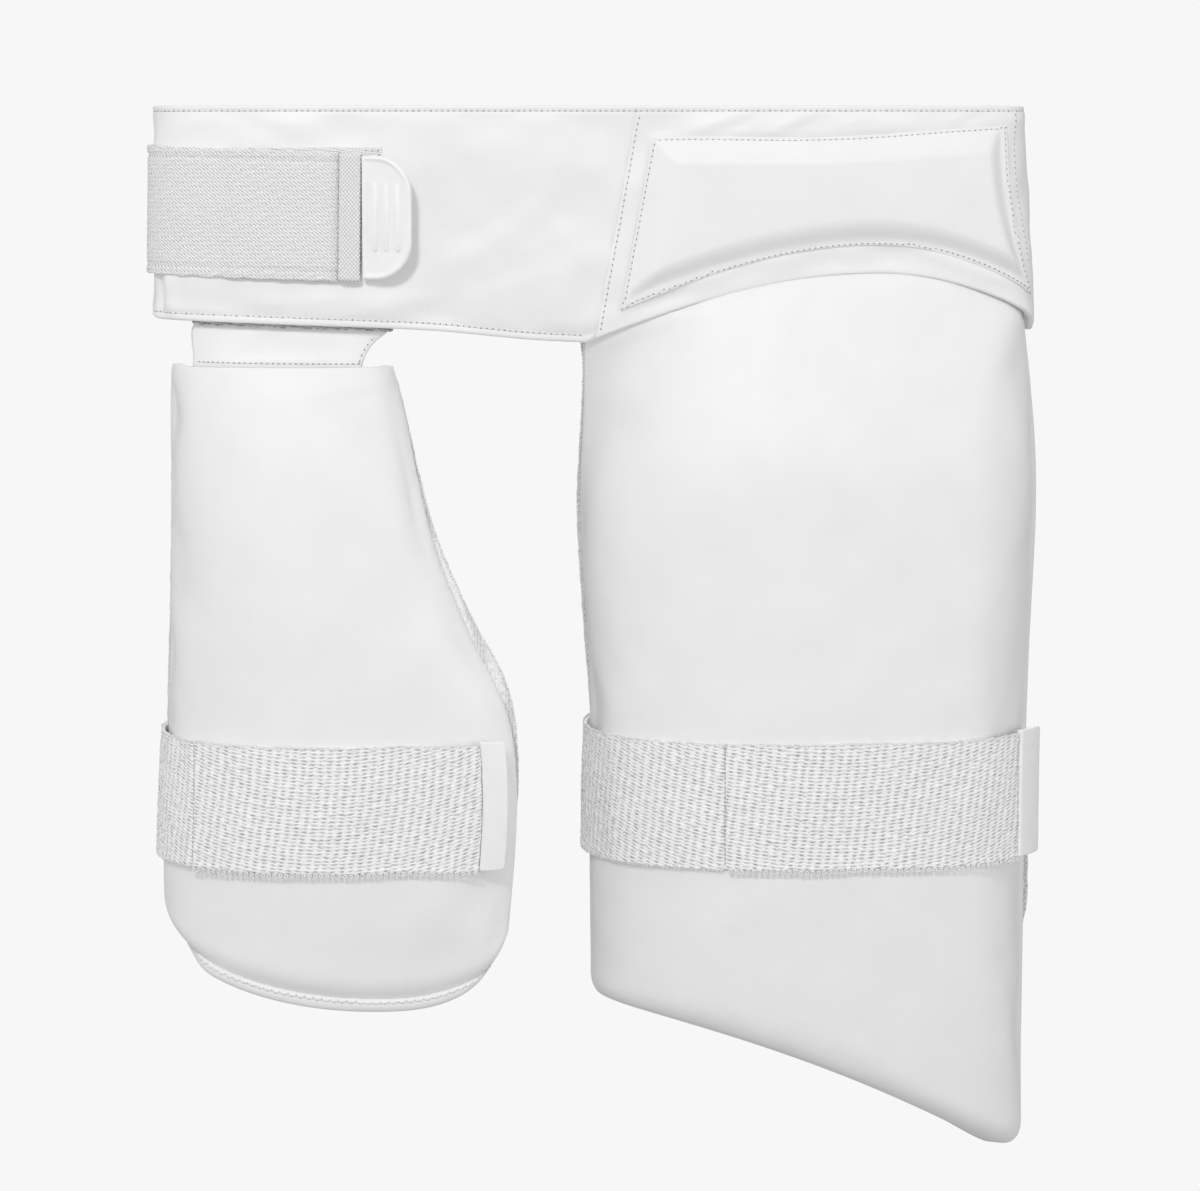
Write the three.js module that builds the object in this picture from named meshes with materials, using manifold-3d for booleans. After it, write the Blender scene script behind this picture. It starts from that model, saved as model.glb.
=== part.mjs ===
import * as THREE from "three";
import { mergeVertices } from "three/addons/utils/BufferGeometryUtils.js";
import Module from "manifold-3d";

const { clamp, lerp, smoothstep } = THREE.MathUtils;

// A cricket thigh guard: a padded waist belt with a hip pad, a long outer thigh pad
// and a shorter inner thigh pad, each with a strap that runs round the leg.
// Millimetres. X runs to the wearer's left, Y to the back and Z up. The origin is the middle
// of the waist hollow at half the belt's height. The forms keep their worn shape.

// Waist belt: the loop is measured on its outer face
const WAIST_WIDTH = 448;
const WAIST_FRONT = 82;
const WAIST_BACK = 62;
const WAIST_SIDE = 45; // how far in front of the origin the loop is widest
const BELT_HEIGHT = 106;
const BELT_THICK = 4;
const WING_DIP = 11.6; // how far the wing's lower edge falls towards the outer pad
const SEAM_X = 13; // where the wing meets the hip panel
const SEAM_LEAN = 9.6; // half the seam's sideways run from top to bottom
const PANEL_RETURN = 50; // how far the hip panel runs on round the side
const ARCH_START = -4;
const ARCH_PEAK = 143; // measured along the belt from the front middle
const ARCH_PEAK_Z = -30;
const ARCH_DROP_IN = 34.6;
const ARCH_DROP_OUT = 30;
const ARCH_SPAN_OUT = 102;

// Hip pad, raised on the hip panel
const HIP_RISE = 8;
const HIP_EDGE = 1;
const HIP_TOP_Z = 37.4;
const HIP_TOP_CLIMB = 5.6; // its outer top corner is this much higher
const HIP_LEFT_TOP = 29.8;
const HIP_LEFT_BOTTOM = 14;
const HIP_RIGHT_TOP = 209; // measured along the belt, as its other corners are
const HIP_RIGHT_BOTTOM = 226;
const HIP_RIGHT_CURVE = 2.2; // how late its right edge swings out
const HIP_BEVEL = 11;
const HIP_MARGIN = 8; // between the arch and the hip pad, at the arch's ends
const HIP_MARGIN_CROWN = 6; // and how much more at its peak

// Waist elastic with its folded end, the pile patch under it and the pull tab
const ELASTIC_HEIGHT = 64;
const ELASTIC_THICK = 2;
const ELASTIC_REACH = 109; // how far its end lies from the waist's left side
const ELASTIC_RISE = 1.6; // the elastic's middle above the belt's at the left end
const ELASTIC_FALL = 3.9; // and how much it falls from there to its end
const ELASTIC_ANCHOR = 30; // the length sewn behind the hip panel
const HEM_LENGTH = 11;
const HEM_THICK = 5;
const PATCH_THICK = 1.2;
const PATCH_START = 52; // measured from the waist's left side, as its end is
const PATCH_END = 119.6;
const PATCH_TOP_Z = 32.6;
const PATCH_BOTTOM_Z = -31;
const TAB_LENGTH = 26;
const TAB_HEIGHT = 61;
const TAB_THICK = 2.6;
const TAB_CORNER = 19;
const TAB_LIFT = 6; // how far the tip stands off
const RIB_COUNT = 3;
const RIB_WIDTH = 2.6;
const RIB_PITCH = 6;
const RIB_LENGTH = 34;
const RIB_HEIGHT = 0.9;

// Outer thigh pad, measured on its outer face
const OUTER_X = 110;
const OUTER_WIDTH = 237;
const OUTER_FRONT = 106;
const OUTER_SIDE = 25;
const OUTER_TOP_Z = -60;
const OUTER_HEIGHT = 430;
const OUTER_THICK = 18;
const OUTER_TUCK = 12; // how far its top runs up behind the belt
const OUTER_LEFT_BOTTOM_Z = -405.5;
const OUTER_POINT_DROP = 79.5; // how much lower its outer bottom corner is
const OUTER_POINT_POWER = 1.56;
const OUTER_CORNER = 18;

// Inner thigh pad, measured on its outer face
const INNER_X = -130;
const INNER_WIDTH = 184;
const INNER_FRONT = 105;
const INNER_TOP_Z = -77;
const INNER_HEIGHT = 325.5;
const INNER_THICK = 14;
const INNER_LOWEST = 0.67; // where its lower edge hangs lowest, as a share of its width
const INNER_CLIMB_LEFT = 46; // how much the lower edge climbs from there to each side
const INNER_CLIMB_RIGHT = 34;
const INNER_CURVE_LEFT = 2;
const INNER_CURVE_RIGHT = 2.8;
const INNER_CORNER = 15;
const BINDING_WIDTH = 5;
const BINDING_END = 1; // its width at its ends

// What both pads share
const PAD_BACK = 62; // the leg loop's back, behind the origin
const PAD_EMERGE = 110; // the drop over which they come forward from the belt
const PAD_EDGE_THICK = 9;
const PAD_TOP_THICK = 5.5;
const PAD_RIM = 4.5;
const PAD_BEVEL = 12;
const LINING_THICK = 2;
const LINING_PROUD = 2.2;

// Flap that carries the inner pad, and the hook tape that holds it inside the belt
const FLAP_THICK = 2;
const FLAP_TUCK_UP = 17; // behind the belt
const FLAP_TUCK_DOWN = 9; // behind the inner pad
const HOOK_TAPE_THICK = 1.5;
const HOOK_TAPE_PROUD = 1.8; // how far it shows below the belt

// Thigh straps
const STRAP_HEIGHT = 64;
const STRAP_THICK = 2.2;
const STRAP_ANCHOR = 12; // the length sewn behind the lining
const STRAP_TAB_THICK = 3;
const STRAP_HOOK_THICK = 1.2;
const STRAP_HOOK_PROUD = 0.8; // how far the hook patch shows below the strap
const OUTER_STRAP_Z = -295.5;
const OUTER_STRAP_END_X = 213.5;
const OUTER_STRAP_TAB = 21; // along the leg
const OUTER_STRAP_HOOK_X = 18;
const INNER_STRAP_Z = -297;
const INNER_STRAP_END_X = -56.5;
const INNER_STRAP_TAB = 12;
const INNER_STRAP_HOOK_X = -195;

// Clearances
const GAP = 0.3; // between layers that lie on each other
const SEAT = 0.6; // between layers that bend round a leg together

// Spacing of the sections
const STEP = 8;
const EDGE_SHARES = [0, 0.15, 0.45, 1]; // of a rounded edge's width
const EDGE_TRIES = 6; // steps to find where a leaning panel meets its lower edge

// The belt's loop from its top edge down: half widths as shares of the waist's width
const WAIST_RING = [
  { down: 0, left: 0.4955, right: 0.4856 },
  { down: 0.3, left: 0.4965, right: 0.4914 },
  { down: 1, left: 0.4996, right: 0.5 },
];

// The wing's lower edge from its left end to the arch: drop as a share of the dip
const WING_EDGE = [
  { down: 0, drop: 0 },
  { down: 0.36, drop: 0.24 },
  { down: 0.67, drop: 0.48 },
  { down: 0.88, drop: 0.87 },
  { down: 1, drop: 1 },
];

// The outer pad from its top down: half widths as shares of its width, depth of its front
// as a share of its greatest
const OUTER_RING = [
  { down: 0, left: 0.48, right: 0.502, front: 0.95 },
  { down: 0.11, left: 0.498, right: 0.509, front: 0.985 },
  { down: 0.22, left: 0.497, right: 0.505, front: 1 },
  { down: 0.45, left: 0.475, right: 0.49, front: 0.992 },
  { down: 0.66, left: 0.4768, right: 0.488, front: 0.945 },
  { down: 1, left: 0.468, right: 0.486, front: 0.81 },
];

// The inner pad from its top down, in the same shares, and the depth of its left side
const INNER_RING = [
  { down: 0, left: 0.458, right: 0.165, front: 0.83, side: 0.5 },
  { down: 0.065, left: 0.464, right: 0.196, front: 0.875, side: 0.46 },
  { down: 0.18, left: 0.47, right: 0.242, front: 0.94, side: 0.36 },
  { down: 0.29, left: 0.4745, right: 0.2935, front: 0.975, side: 0.3 },
  { down: 0.42, left: 0.481, right: 0.3875, front: 0.995, side: 0.27 },
  { down: 0.535, left: 0.489, right: 0.486, front: 1, side: 0.265 },
  { down: 0.645, left: 0.4946, right: 0.5136, front: 1, side: 0.265 },
  { down: 0.78, left: 0.505, right: 0.5054, front: 0.985, side: 0.265 },
  { down: 1, left: 0.503, right: 0.467, front: 0.925, side: 0.27 },
];

// The flap's side edges from the belt's lower edge to the inner pad: how far they lie to the
// right of the pad's middle, in shares of its width
const FLAP_EDGES = [
  { down: 0, left: -0.395, right: 0.163 },
  { down: 0.35, left: -0.41, right: 0.12 },
  { down: 1, left: -0.4185, right: 0.0945 },
];

// How square a loop's corners are: 0.55 is round, 1 is a sharp corner
const CORNERS = { belt: 0.86, leg: 0.68, innerEdge: 0.75, back: 0.6 };

const INNER_APEX = 0.56; // the inner pad's foremost line, as a share of its width from the left
const INNER_EDGE_TURN = 0.667; // depth of its right edge, as a share of its front's
const INNER_EDGE_REACH = 0.93; // how far round that corner the pad reaches

const white = (roughness, color = 0xf0f0f0) =>
  new THREE.MeshStandardMaterial({ color, roughness, metalness: 0 });
const LEATHER = 0.45;
const KNIT = 0.9;
const FUZZ = 0.95;
const MOULDED = 0.4;

const beltTop = BELT_HEIGHT / 2;
const beltBottom = -BELT_HEIGHT / 2;
const waistLeftX = -WAIST_WIDTH / 2;
const elasticEndX = waistLeftX + ELASTIC_REACH;
const patchLeftX = waistLeftX + PATCH_START;
const patchRightX = waistLeftX + PATCH_END;

// The value of one column of a table, on a smooth curve through its rows.
function through(rows, name, share) {
  const last = rows.length - 1;
  const at = clamp(share, rows[0].down, rows[last].down);
  const next = Math.max(1, rows.findIndex((row) => row.down >= at));
  const slope = (k) => {
    const before = rows[Math.max(0, k - 1)];
    const after = rows[Math.min(last, k + 1)];
    return (after[name] - before[name]) / (after.down - before.down);
  };
  const from = rows[next - 1];
  const to = rows[next];
  const span = to.down - from.down;
  const t = (at - from.down) / span;
  const rise = t * t * (3 - 2 * t);
  const lead = t * (1 - t) * (1 - t) * span * slope(next - 1);
  const trail = t * t * (t - 1) * span * slope(next);
  return from[name] + (to[name] - from[name]) * rise + lead + trail;
}

// A closed plan loop through its foremost, right, rearmost and left points.
function ringOf({ left, right, front, back, middle, leftSide, rightSide, corners }) {
  const tips = [
    new THREE.Vector2(middle, front),
    new THREE.Vector2(right, rightSide),
    new THREE.Vector2(middle, back),
    new THREE.Vector2(left, leftSide),
  ];
  const ring = new THREE.CurvePath();
  tips.forEach((from, k) => {
    const to = tips[(k + 1) % tips.length];
    const flat = k % 2 === 0;
    const share = corners[k];
    const out = flat
      ? new THREE.Vector2(lerp(from.x, to.x, share), from.y)
      : new THREE.Vector2(from.x, lerp(from.y, to.y, share));
    const into = flat
      ? new THREE.Vector2(to.x, lerp(to.y, from.y, share))
      : new THREE.Vector2(lerp(to.x, from.x, share), to.y);
    ring.add(new THREE.CubicBezierCurve(from, out, into, to));
  });
  ring.toRight = ring.curves[0].getLength();
  ring.toLeft = ring.curves[3].getLength();
  ring.around = ring.getLength();
  return ring;
}

// Keeps the loops that a function has already worked out for a height.
function remembered(make) {
  const kept = new Map();
  return (z) => {
    if (!kept.has(z)) kept.set(z, make(z));
    return kept.get(z);
  };
}

const waistRing = remembered((z) => {
  const down = (beltTop - z) / BELT_HEIGHT;
  return ringOf({
    left: -WAIST_WIDTH * through(WAIST_RING, "left", down),
    right: WAIST_WIDTH * through(WAIST_RING, "right", down),
    middle: 0,
    front: -WAIST_FRONT,
    back: WAIST_BACK,
    leftSide: -WAIST_SIDE,
    rightSide: -WAIST_SIDE,
    corners: [CORNERS.belt, CORNERS.back, CORNERS.back, CORNERS.belt],
  });
});

const outerRing = remembered((z) => {
  const down = (OUTER_TOP_Z - z) / OUTER_HEIGHT;
  return ringOf({
    left: OUTER_X - OUTER_WIDTH * through(OUTER_RING, "left", down),
    right: OUTER_X + OUTER_WIDTH * through(OUTER_RING, "right", down),
    middle: OUTER_X,
    front: -OUTER_FRONT * through(OUTER_RING, "front", down),
    back: PAD_BACK,
    leftSide: -OUTER_SIDE,
    rightSide: -OUTER_SIDE,
    corners: [CORNERS.leg, CORNERS.back, CORNERS.back, CORNERS.leg],
  });
});

const innerRing = remembered((z) => {
  const down = (INNER_TOP_Z - z) / INNER_HEIGHT;
  const left = INNER_X - INNER_WIDTH * through(INNER_RING, "left", down);
  const right = INNER_X + INNER_WIDTH * through(INNER_RING, "right", down);
  const front = -INNER_FRONT * through(INNER_RING, "front", down);
  return ringOf({
    left,
    right,
    middle: lerp(left, right, INNER_APEX),
    front,
    back: PAD_BACK,
    leftSide: front * through(INNER_RING, "side", down),
    rightSide: front * INNER_EDGE_TURN,
    corners: [CORNERS.innerEdge, CORNERS.back, CORNERS.back, CORNERS.leg],
  });
});

// The point of a loop at a distance along it from its foremost point, moved outwards.
function place(ring, along, out, z) {
  const t = THREE.MathUtils.euclideanModulo(along / ring.around, 1);
  const point = ring.getPoint(t);
  const tangent = ring.getTangent(t);
  return new THREE.Vector3(point.x + tangent.y * out, point.y - tangent.x * out, z);
}

// The distance along a loop's front at which it passes a given x.
function alongAt(ring, x) {
  let low = -ring.toLeft;
  let high = ring.toRight;
  for (let k = 0; k < 40; k += 1) {
    const middle = (low + high) / 2;
    if (place(ring, middle, 0, 0).x < x) low = middle;
    else high = middle;
  }
  return (low + high) / 2;
}

// Even stops between two places, at whole steps so that layers bend at the same lines.
function stops(from, to, keys = []) {
  const found = [from, to, ...keys.filter((key) => key > from && key < to)];
  const clear = STEP / 4;
  for (let at = Math.ceil(from / STEP) * STEP; at < to; at += STEP)
    if (found.every((other) => Math.abs(other - at) > clear)) found.push(at);
  return found.sort((a, b) => a - b);
}

// Stops across a length with rounded edges: close together at both edges, even between.
function edgeStops(length, bevel, inner) {
  const edge = EDGE_SHARES.map((share) => share * bevel);
  const room = length - 2 * bevel;
  const middle = Array.from({ length: inner }, (_, k) => bevel + (room * (k + 1)) / (inner + 1));
  return [...edge, ...middle, ...edge.map((at) => length - at).reverse()];
}

// A closed sheet from a grid of points; side 1 is its face and side 0 its back.
// Columns run to the right and rows run down, seen from outside.
function sheetSolid(columns, rows, pointAt) {
  const positions = [];
  const index = [];
  for (const side of [1, 0])
    for (let row = 0; row < rows; row += 1)
      for (let column = 0; column < columns; column += 1)
        positions.push(...pointAt(column, row, side).toArray());
  const at = (column, row, side) => ((1 - side) * rows + row) * columns + column;
  const quad = (a, b, c, d) => index.push(a, b, c, a, c, d);
  for (let row = 0; row + 1 < rows; row += 1)
    for (let column = 0; column + 1 < columns; column += 1) {
      const next = column + 1;
      const under = row + 1;
      quad(at(column, row, 1), at(column, under, 1), at(next, under, 1), at(next, row, 1));
      quad(at(column, row, 0), at(next, row, 0), at(next, under, 0), at(column, under, 0));
    }
  const bottom = rows - 1;
  for (let column = 0; column + 1 < columns; column += 1) {
    const next = column + 1;
    quad(at(column, 0, 1), at(next, 0, 1), at(next, 0, 0), at(column, 0, 0));
    quad(at(column, bottom, 1), at(column, bottom, 0), at(next, bottom, 0), at(next, bottom, 1));
  }
  const end = columns - 1;
  for (let row = 0; row + 1 < rows; row += 1) {
    const under = row + 1;
    quad(at(0, row, 1), at(0, row, 0), at(0, under, 0), at(0, under, 1));
    quad(at(end, row, 1), at(end, under, 1), at(end, under, 0), at(end, row, 0));
  }
  const geometry = new THREE.BufferGeometry();
  geometry.setAttribute("position", new THREE.Float32BufferAttribute(positions, 3));
  geometry.setIndex(index);
  geometry.computeVertexNormals();
  return geometry;
}

// A band along a loop: its columns are distances on the loop at one height, and each gives
// its heights and layers.
function bandSolid(ringAt, level, columns, heights, layers) {
  const rows = heights(columns[0]).length;
  const { around } = ringAt(level);
  return sheetSolid(columns.length, rows, (column, row, side) => {
    const along = columns[column];
    const z = heights(along)[row];
    const ring = ringAt(z);
    const { inside, outside } = layers(along);
    return place(ring, (along * ring.around) / around, side ? outside : inside, z);
  });
}

function evenly(from, to, count) {
  return Array.from({ length: count }, (_, k) => from + ((to - from) * k) / (count - 1));
}

function archZ(along) {
  const inner = along < ARCH_PEAK;
  const span = inner ? ARCH_PEAK - ARCH_START : ARCH_SPAN_OUT;
  const drop = inner ? ARCH_DROP_IN : ARCH_DROP_OUT;
  const share = Math.min(1, Math.abs(along - ARCH_PEAK) / span);
  return ARCH_PEAK_Z - drop * (1 - Math.cos((share * Math.PI) / 2));
}

const wingLeft = -waistRing(0).toLeft;

// The belt's lower edge: the wing's dips towards the outer pad, then it arches over the pad.
function beltEdgeZ(along) {
  if (along > ARCH_START) return archZ(along);
  const share = (along - wingLeft) / (ARCH_START - wingLeft);
  const end = archZ(ARCH_START);
  return end + WING_DIP * (1 - through(WING_EDGE, "drop", share));
}

const seamAt = (z) => SEAM_X + (SEAM_LEAN * z) / beltTop;

// A panel of the belt between two side edges, each of which may lean.
function beltPanel(leftAt, rightAt) {
  const rows = 5;
  const columns = stops(0, Math.round((rightAt(0) - leftAt(0)) / STEP) * STEP).length;
  const endAt = (share) => {
    let end = beltBottom;
    for (let k = 0; k < EDGE_TRIES; k += 1)
      end = beltEdgeZ(lerp(leftAt(end), rightAt(end), share));
    return end;
  };
  return sheetSolid(columns, rows, (column, row, side) => {
    const share = column / (columns - 1);
    const z = evenly(beltTop, endAt(share), rows)[row];
    const along = lerp(leftAt(z), rightAt(z), share);
    return place(waistRing(z), along, side ? 0 : -BELT_THICK, z);
  });
}

const panelRight = waistRing(0).toRight + PANEL_RETURN;

const beltWing = () => beltPanel(() => wingLeft, (z) => seamAt(z) - GAP / 2);
const hipPanel = () => beltPanel((z) => seamAt(z) + GAP / 2, () => panelRight);

// The hip pad's lower edge follows the arch at a margin that is widest over its peak.
function hipBottomZ(along) {
  const span = along < ARCH_PEAK ? ARCH_PEAK - ARCH_START : ARCH_SPAN_OUT;
  const share = Math.min(1, Math.abs(along - ARCH_PEAK) / span);
  return archZ(along) + HIP_MARGIN + HIP_MARGIN_CROWN * (1 - share * share);
}

function hipPad() {
  const inner = { columns: 12, rows: 2 };
  const columns = EDGE_SHARES.length * 2 + inner.columns;
  const rows = EDGE_SHARES.length * 2 + inner.rows;
  return sheetSolid(columns, rows, (column, row, side) => {
    const across = edgeStops(1, HIP_BEVEL / (HIP_RIGHT_TOP - HIP_LEFT_TOP), inner.columns)[column];
    const top = HIP_TOP_Z + HIP_TOP_CLIMB * across;
    const bottom = hipBottomZ(lerp(HIP_LEFT_BOTTOM, HIP_RIGHT_BOTTOM, across));
    const z = top - edgeStops(top - bottom, HIP_BEVEL, inner.rows)[row];
    const down = (top - z) / (top - bottom);
    const left = lerp(HIP_LEFT_TOP, HIP_LEFT_BOTTOM, down);
    const right = lerp(HIP_RIGHT_TOP, HIP_RIGHT_BOTTOM, down ** HIP_RIGHT_CURVE);
    const along = lerp(left, right, across);
    const toEdge = Math.min(along - left, right - along, top - z, z - bottom);
    const rise = Math.min(1, toEdge / HIP_BEVEL) * (HIP_RISE - HIP_EDGE);
    return place(waistRing(z), along, SEAT + (side ? HIP_EDGE + rise : 0), z);
  });
}

// The thickness of a pad's edge falls off over a quarter round.
function edgeFall(toEdge) {
  const share = clamp(toEdge / PAD_BEVEL, 0, 1);
  return 1 - Math.sqrt(1 - (1 - share) ** 2);
}

// How much a round corner lifts the lower edge at a distance from the side edge.
function cornerLift(toSide, radius) {
  const share = clamp(toSide / radius, 0, 1);
  return radius * (1 - Math.sqrt(1 - (1 - share) ** 2));
}

// A pad is thinner towards its side edges.
const fullDepth = (share, thick) =>
  lerp(PAD_EDGE_THICK, thick, 1 - (2 * share - 1) ** 4);

// A thigh pad's grid: each column has its own top and bottom, and each point knows how far
// round the leg it is, how thick the pad is there and how far its face falls back.
function padGrid({ ringAt, reach, reference, topAt, bottomAt, comeOut, thick, columns, rows }) {
  const acrossAt = (ring, column) => {
    const [left, right] = reach(ring);
    const at = edgeStops(left + right, PAD_BEVEL, columns)[column];
    return { along: at - left, toSide: Math.min(at, left + right - at), share: at / (left + right) };
  };
  const at = (column, row) => {
    const guide = acrossAt(ringAt(reference), column);
    const top = topAt(guide);
    const bottom = bottomAt(guide, place(ringAt(reference), guide.along, 0, 0).x);
    const down = edgeStops(top - bottom, PAD_BEVEL, rows)[row];
    const z = top - down;
    const here = acrossAt(ringAt(z), column);
    const out = comeOut(here, z);
    const depth = lerp(PAD_TOP_THICK, fullDepth(here.share, thick), out);
    const toEdge = Math.min(here.toSide, down, top - bottom - down);
    return { ...here, z, out, depth, fall: (depth - PAD_RIM) * edgeFall(toEdge) };
  };
  const edge = EDGE_SHARES.length * 2;
  return { at, columns: columns + edge, rows: rows + edge };
}

// The outer pad's top lies behind the belt, from one end of the arch to the belt's side.
const beltAlong = (share) =>
  lerp(ARCH_START, waistRing(beltBottom).toRight, share);

const outerGrid = padGrid({
  ringAt: outerRing,
  reach: (ring) => [ring.toLeft, ring.toRight],
  reference: OUTER_LEFT_BOTTOM_Z,
  topAt: (guide) => archZ(beltAlong(guide.share)) + OUTER_TUCK,
  bottomAt: (guide, x) => {
    const ring = outerRing(OUTER_LEFT_BOTTOM_Z);
    const left = place(ring, -ring.toLeft, 0, 0).x;
    const right = place(ring, ring.toRight, 0, 0).x;
    const share = clamp((x - left) / (right - left), 0, 1);
    const fall = OUTER_POINT_DROP * share ** OUTER_POINT_POWER;
    return OUTER_LEFT_BOTTOM_Z - fall + cornerLift(guide.toSide, OUTER_CORNER);
  },
  comeOut: (here, z) => {
    const drop = archZ(beltAlong(here.share)) - z;
    return Math.sin((clamp(drop / PAD_EMERGE, 0, 1) * Math.PI) / 2);
  },
  thick: OUTER_THICK,
  columns: 10,
  rows: 8,
});

// A point of the outer pad: behind the belt at its top, round the leg further down.
function outerPoint({ share, along, z, out }, offset, extra = 0) {
  const level = Math.max(z, archZ(ARCH_START));
  const behind = offset - BELT_THICK - SEAT;
  const tucked = place(waistRing(level), beltAlong(share) + extra, behind, z);
  return tucked.lerp(place(outerRing(z), along + extra, offset, z), out);
}

const innerBottomZ = INNER_TOP_Z - INNER_HEIGHT;

// The inner pad's lower edge bows, and the binding takes its last few millimetres.
function innerEdgeZ(guide) {
  const toLeft = Math.max(0, INNER_LOWEST - guide.share) / INNER_LOWEST;
  const toRight = Math.max(0, guide.share - INNER_LOWEST) / (1 - INNER_LOWEST);
  const climb = INNER_CLIMB_LEFT * toLeft ** INNER_CURVE_LEFT + INNER_CLIMB_RIGHT * toRight ** INNER_CURVE_RIGHT;
  return innerBottomZ + climb + cornerLift(guide.toSide, INNER_CORNER);
}

const bindingWidth = (guide) =>
  lerp(BINDING_END, BINDING_WIDTH, smoothstep(guide.toSide, 0, INNER_CLIMB_LEFT));

const innerPlan = {
  ringAt: innerRing,
  reach: (ring) => [ring.toLeft, ring.toRight * INNER_EDGE_REACH],
  reference: innerBottomZ + INNER_CLIMB_LEFT,
  topAt: () => INNER_TOP_Z,
  bottomAt: (guide) => innerEdgeZ(guide) + bindingWidth(guide) + GAP,
  comeOut: (here, z) => smoothstep((INNER_TOP_Z - z) / PAD_EMERGE, 0, 1),
  thick: INNER_THICK,
  columns: 10,
  rows: 8,
};
const innerGrid = padGrid(innerPlan);
const innerLiningGrid = padGrid({
  ...innerPlan,
  topAt: () => INNER_TOP_Z - FLAP_TUCK_DOWN - GAP,
});

const innerPoint = ({ along, z }, offset, extra = 0) =>
  place(innerRing(z), along + extra, offset, z);

function padSolid(grid, pointOf) {
  return sheetSolid(grid.columns, grid.rows, (column, row, side) => {
    const here = grid.at(column, row);
    return pointOf(here, side ? -here.fall : -here.depth);
  });
}

// The lining lies behind the pad and stands proud at its side edges.
function liningSolid(grid, pointOf) {
  const skipped = EDGE_SHARES.length - 2;
  const keep = (count) =>
    Array.from({ length: count }, (_, k) => k).filter(
      (k) => k === 0 || k === count - 1 || (k > skipped && k < count - 1 - skipped),
    );
  const rows = keep(grid.rows);
  return sheetSolid(grid.columns, rows.length, (column, row, side) => {
    const here = grid.at(column, rows[row]);
    const last = grid.columns - 1;
    const proud = column === 0 ? -LINING_PROUD : column === last ? LINING_PROUD : 0;
    const front = -here.depth - SEAT;
    return pointOf(here, side ? front : front - LINING_THICK, proud);
  });
}

// The binding closes the inner pad's lower edge.
function innerBinding() {
  const first = 2;
  const columns = innerGrid.columns - 2 * first;
  const bottom = innerGrid.rows - 1;
  return sheetSolid(columns, 2, (column, row, side) => {
    const edge = innerGrid.at(column + first, bottom);
    const width = bindingWidth(edge);
    const here = { ...edge, z: edge.z - GAP - row * width };
    return innerPoint(here, side ? -edge.fall : -edge.depth);
  });
}

// The waist elastic: sewn behind the hip panel, round the back, then over the wing's left end.
function waistElastic() {
  const ring = waistRing(0);
  const panelEnd = panelRight - ring.around;
  const finish = alongAt(ring, elasticEndX);
  const patchStart = alongAt(ring, patchLeftX);
  const hem = finish - HEM_LENGTH;
  const within = -BELT_THICK - SEAT - ELASTIC_THICK;
  const layers = (along) => {
    const turn = smoothstep(along, panelEnd, wingLeft - STEP);
    const onPatch = smoothstep(along, patchStart - 2 * STEP, patchStart - STEP / 2);
    const inside = lerp(within, SEAT, turn) + (PATCH_THICK + GAP) * onPatch;
    const folded = smoothstep(along, hem - STEP / 3, hem);
    return { inside, outside: inside + lerp(ELASTIC_THICK, HEM_THICK, folded) };
  };
  const heights = (along) => {
    const rise = smoothstep(along, panelEnd, wingLeft);
    const fall = clamp((along - wingLeft) / (finish - wingLeft), 0, 1);
    const middle = ELASTIC_RISE * rise - ELASTIC_FALL * fall;
    return evenly(middle + ELASTIC_HEIGHT / 2, middle - ELASTIC_HEIGHT / 2, 3);
  };
  const keys = [patchStart - STEP / 2, hem - STEP / 3, hem];
  const columns = stops(panelEnd - ELASTIC_ANCHOR, finish, keys);
  return bandSolid(waistRing, 0, columns, heights, layers);
}

function beltLoopPatch() {
  const ring = waistRing(0);
  const columns = stops(alongAt(ring, patchLeftX), alongAt(ring, patchRightX));
  const heights = () => [PATCH_TOP_Z, PATCH_BOTTOM_Z];
  const layers = () => ({ inside: GAP, outside: GAP + PATCH_THICK });
  return bandSolid(waistRing, 0, columns, heights, layers);
}

const wasm = await Module();
wasm.setup();

function toSolid(geometry) {
  const plain = geometry.clone();
  plain.deleteAttribute("normal");
  plain.deleteAttribute("uv");
  const merged = mergeVertices(plain);
  return new wasm.Manifold(
    new wasm.Mesh({
      numProp: 3,
      vertProperties: merged.attributes.position.array,
      triVerts: new Uint32Array(merged.index.array),
    }),
  );
}

function toGeometry(solid) {
  const mesh = solid.getMesh();
  const geometry = new THREE.BufferGeometry();
  geometry.setAttribute("position", new THREE.BufferAttribute(mesh.vertProperties, 3));
  geometry.setIndex(new THREE.BufferAttribute(mesh.triVerts, 1));
  geometry.computeVertexNormals();
  return geometry;
}

// A bar with round ends, standing along the tab's height.
function ribGeometry() {
  const radius = RIB_WIDTH / 2;
  const reach = RIB_LENGTH / 2 - radius;
  const outline = new THREE.Shape();
  outline.absarc(0, reach, radius, 0, Math.PI);
  outline.absarc(0, -reach, radius, Math.PI, 2 * Math.PI);
  return new THREE.ExtrudeGeometry(outline, {
    depth: TAB_THICK / 2 + RIB_HEIGHT,
    bevelEnabled: false,
    curveSegments: 4,
  });
}

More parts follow.
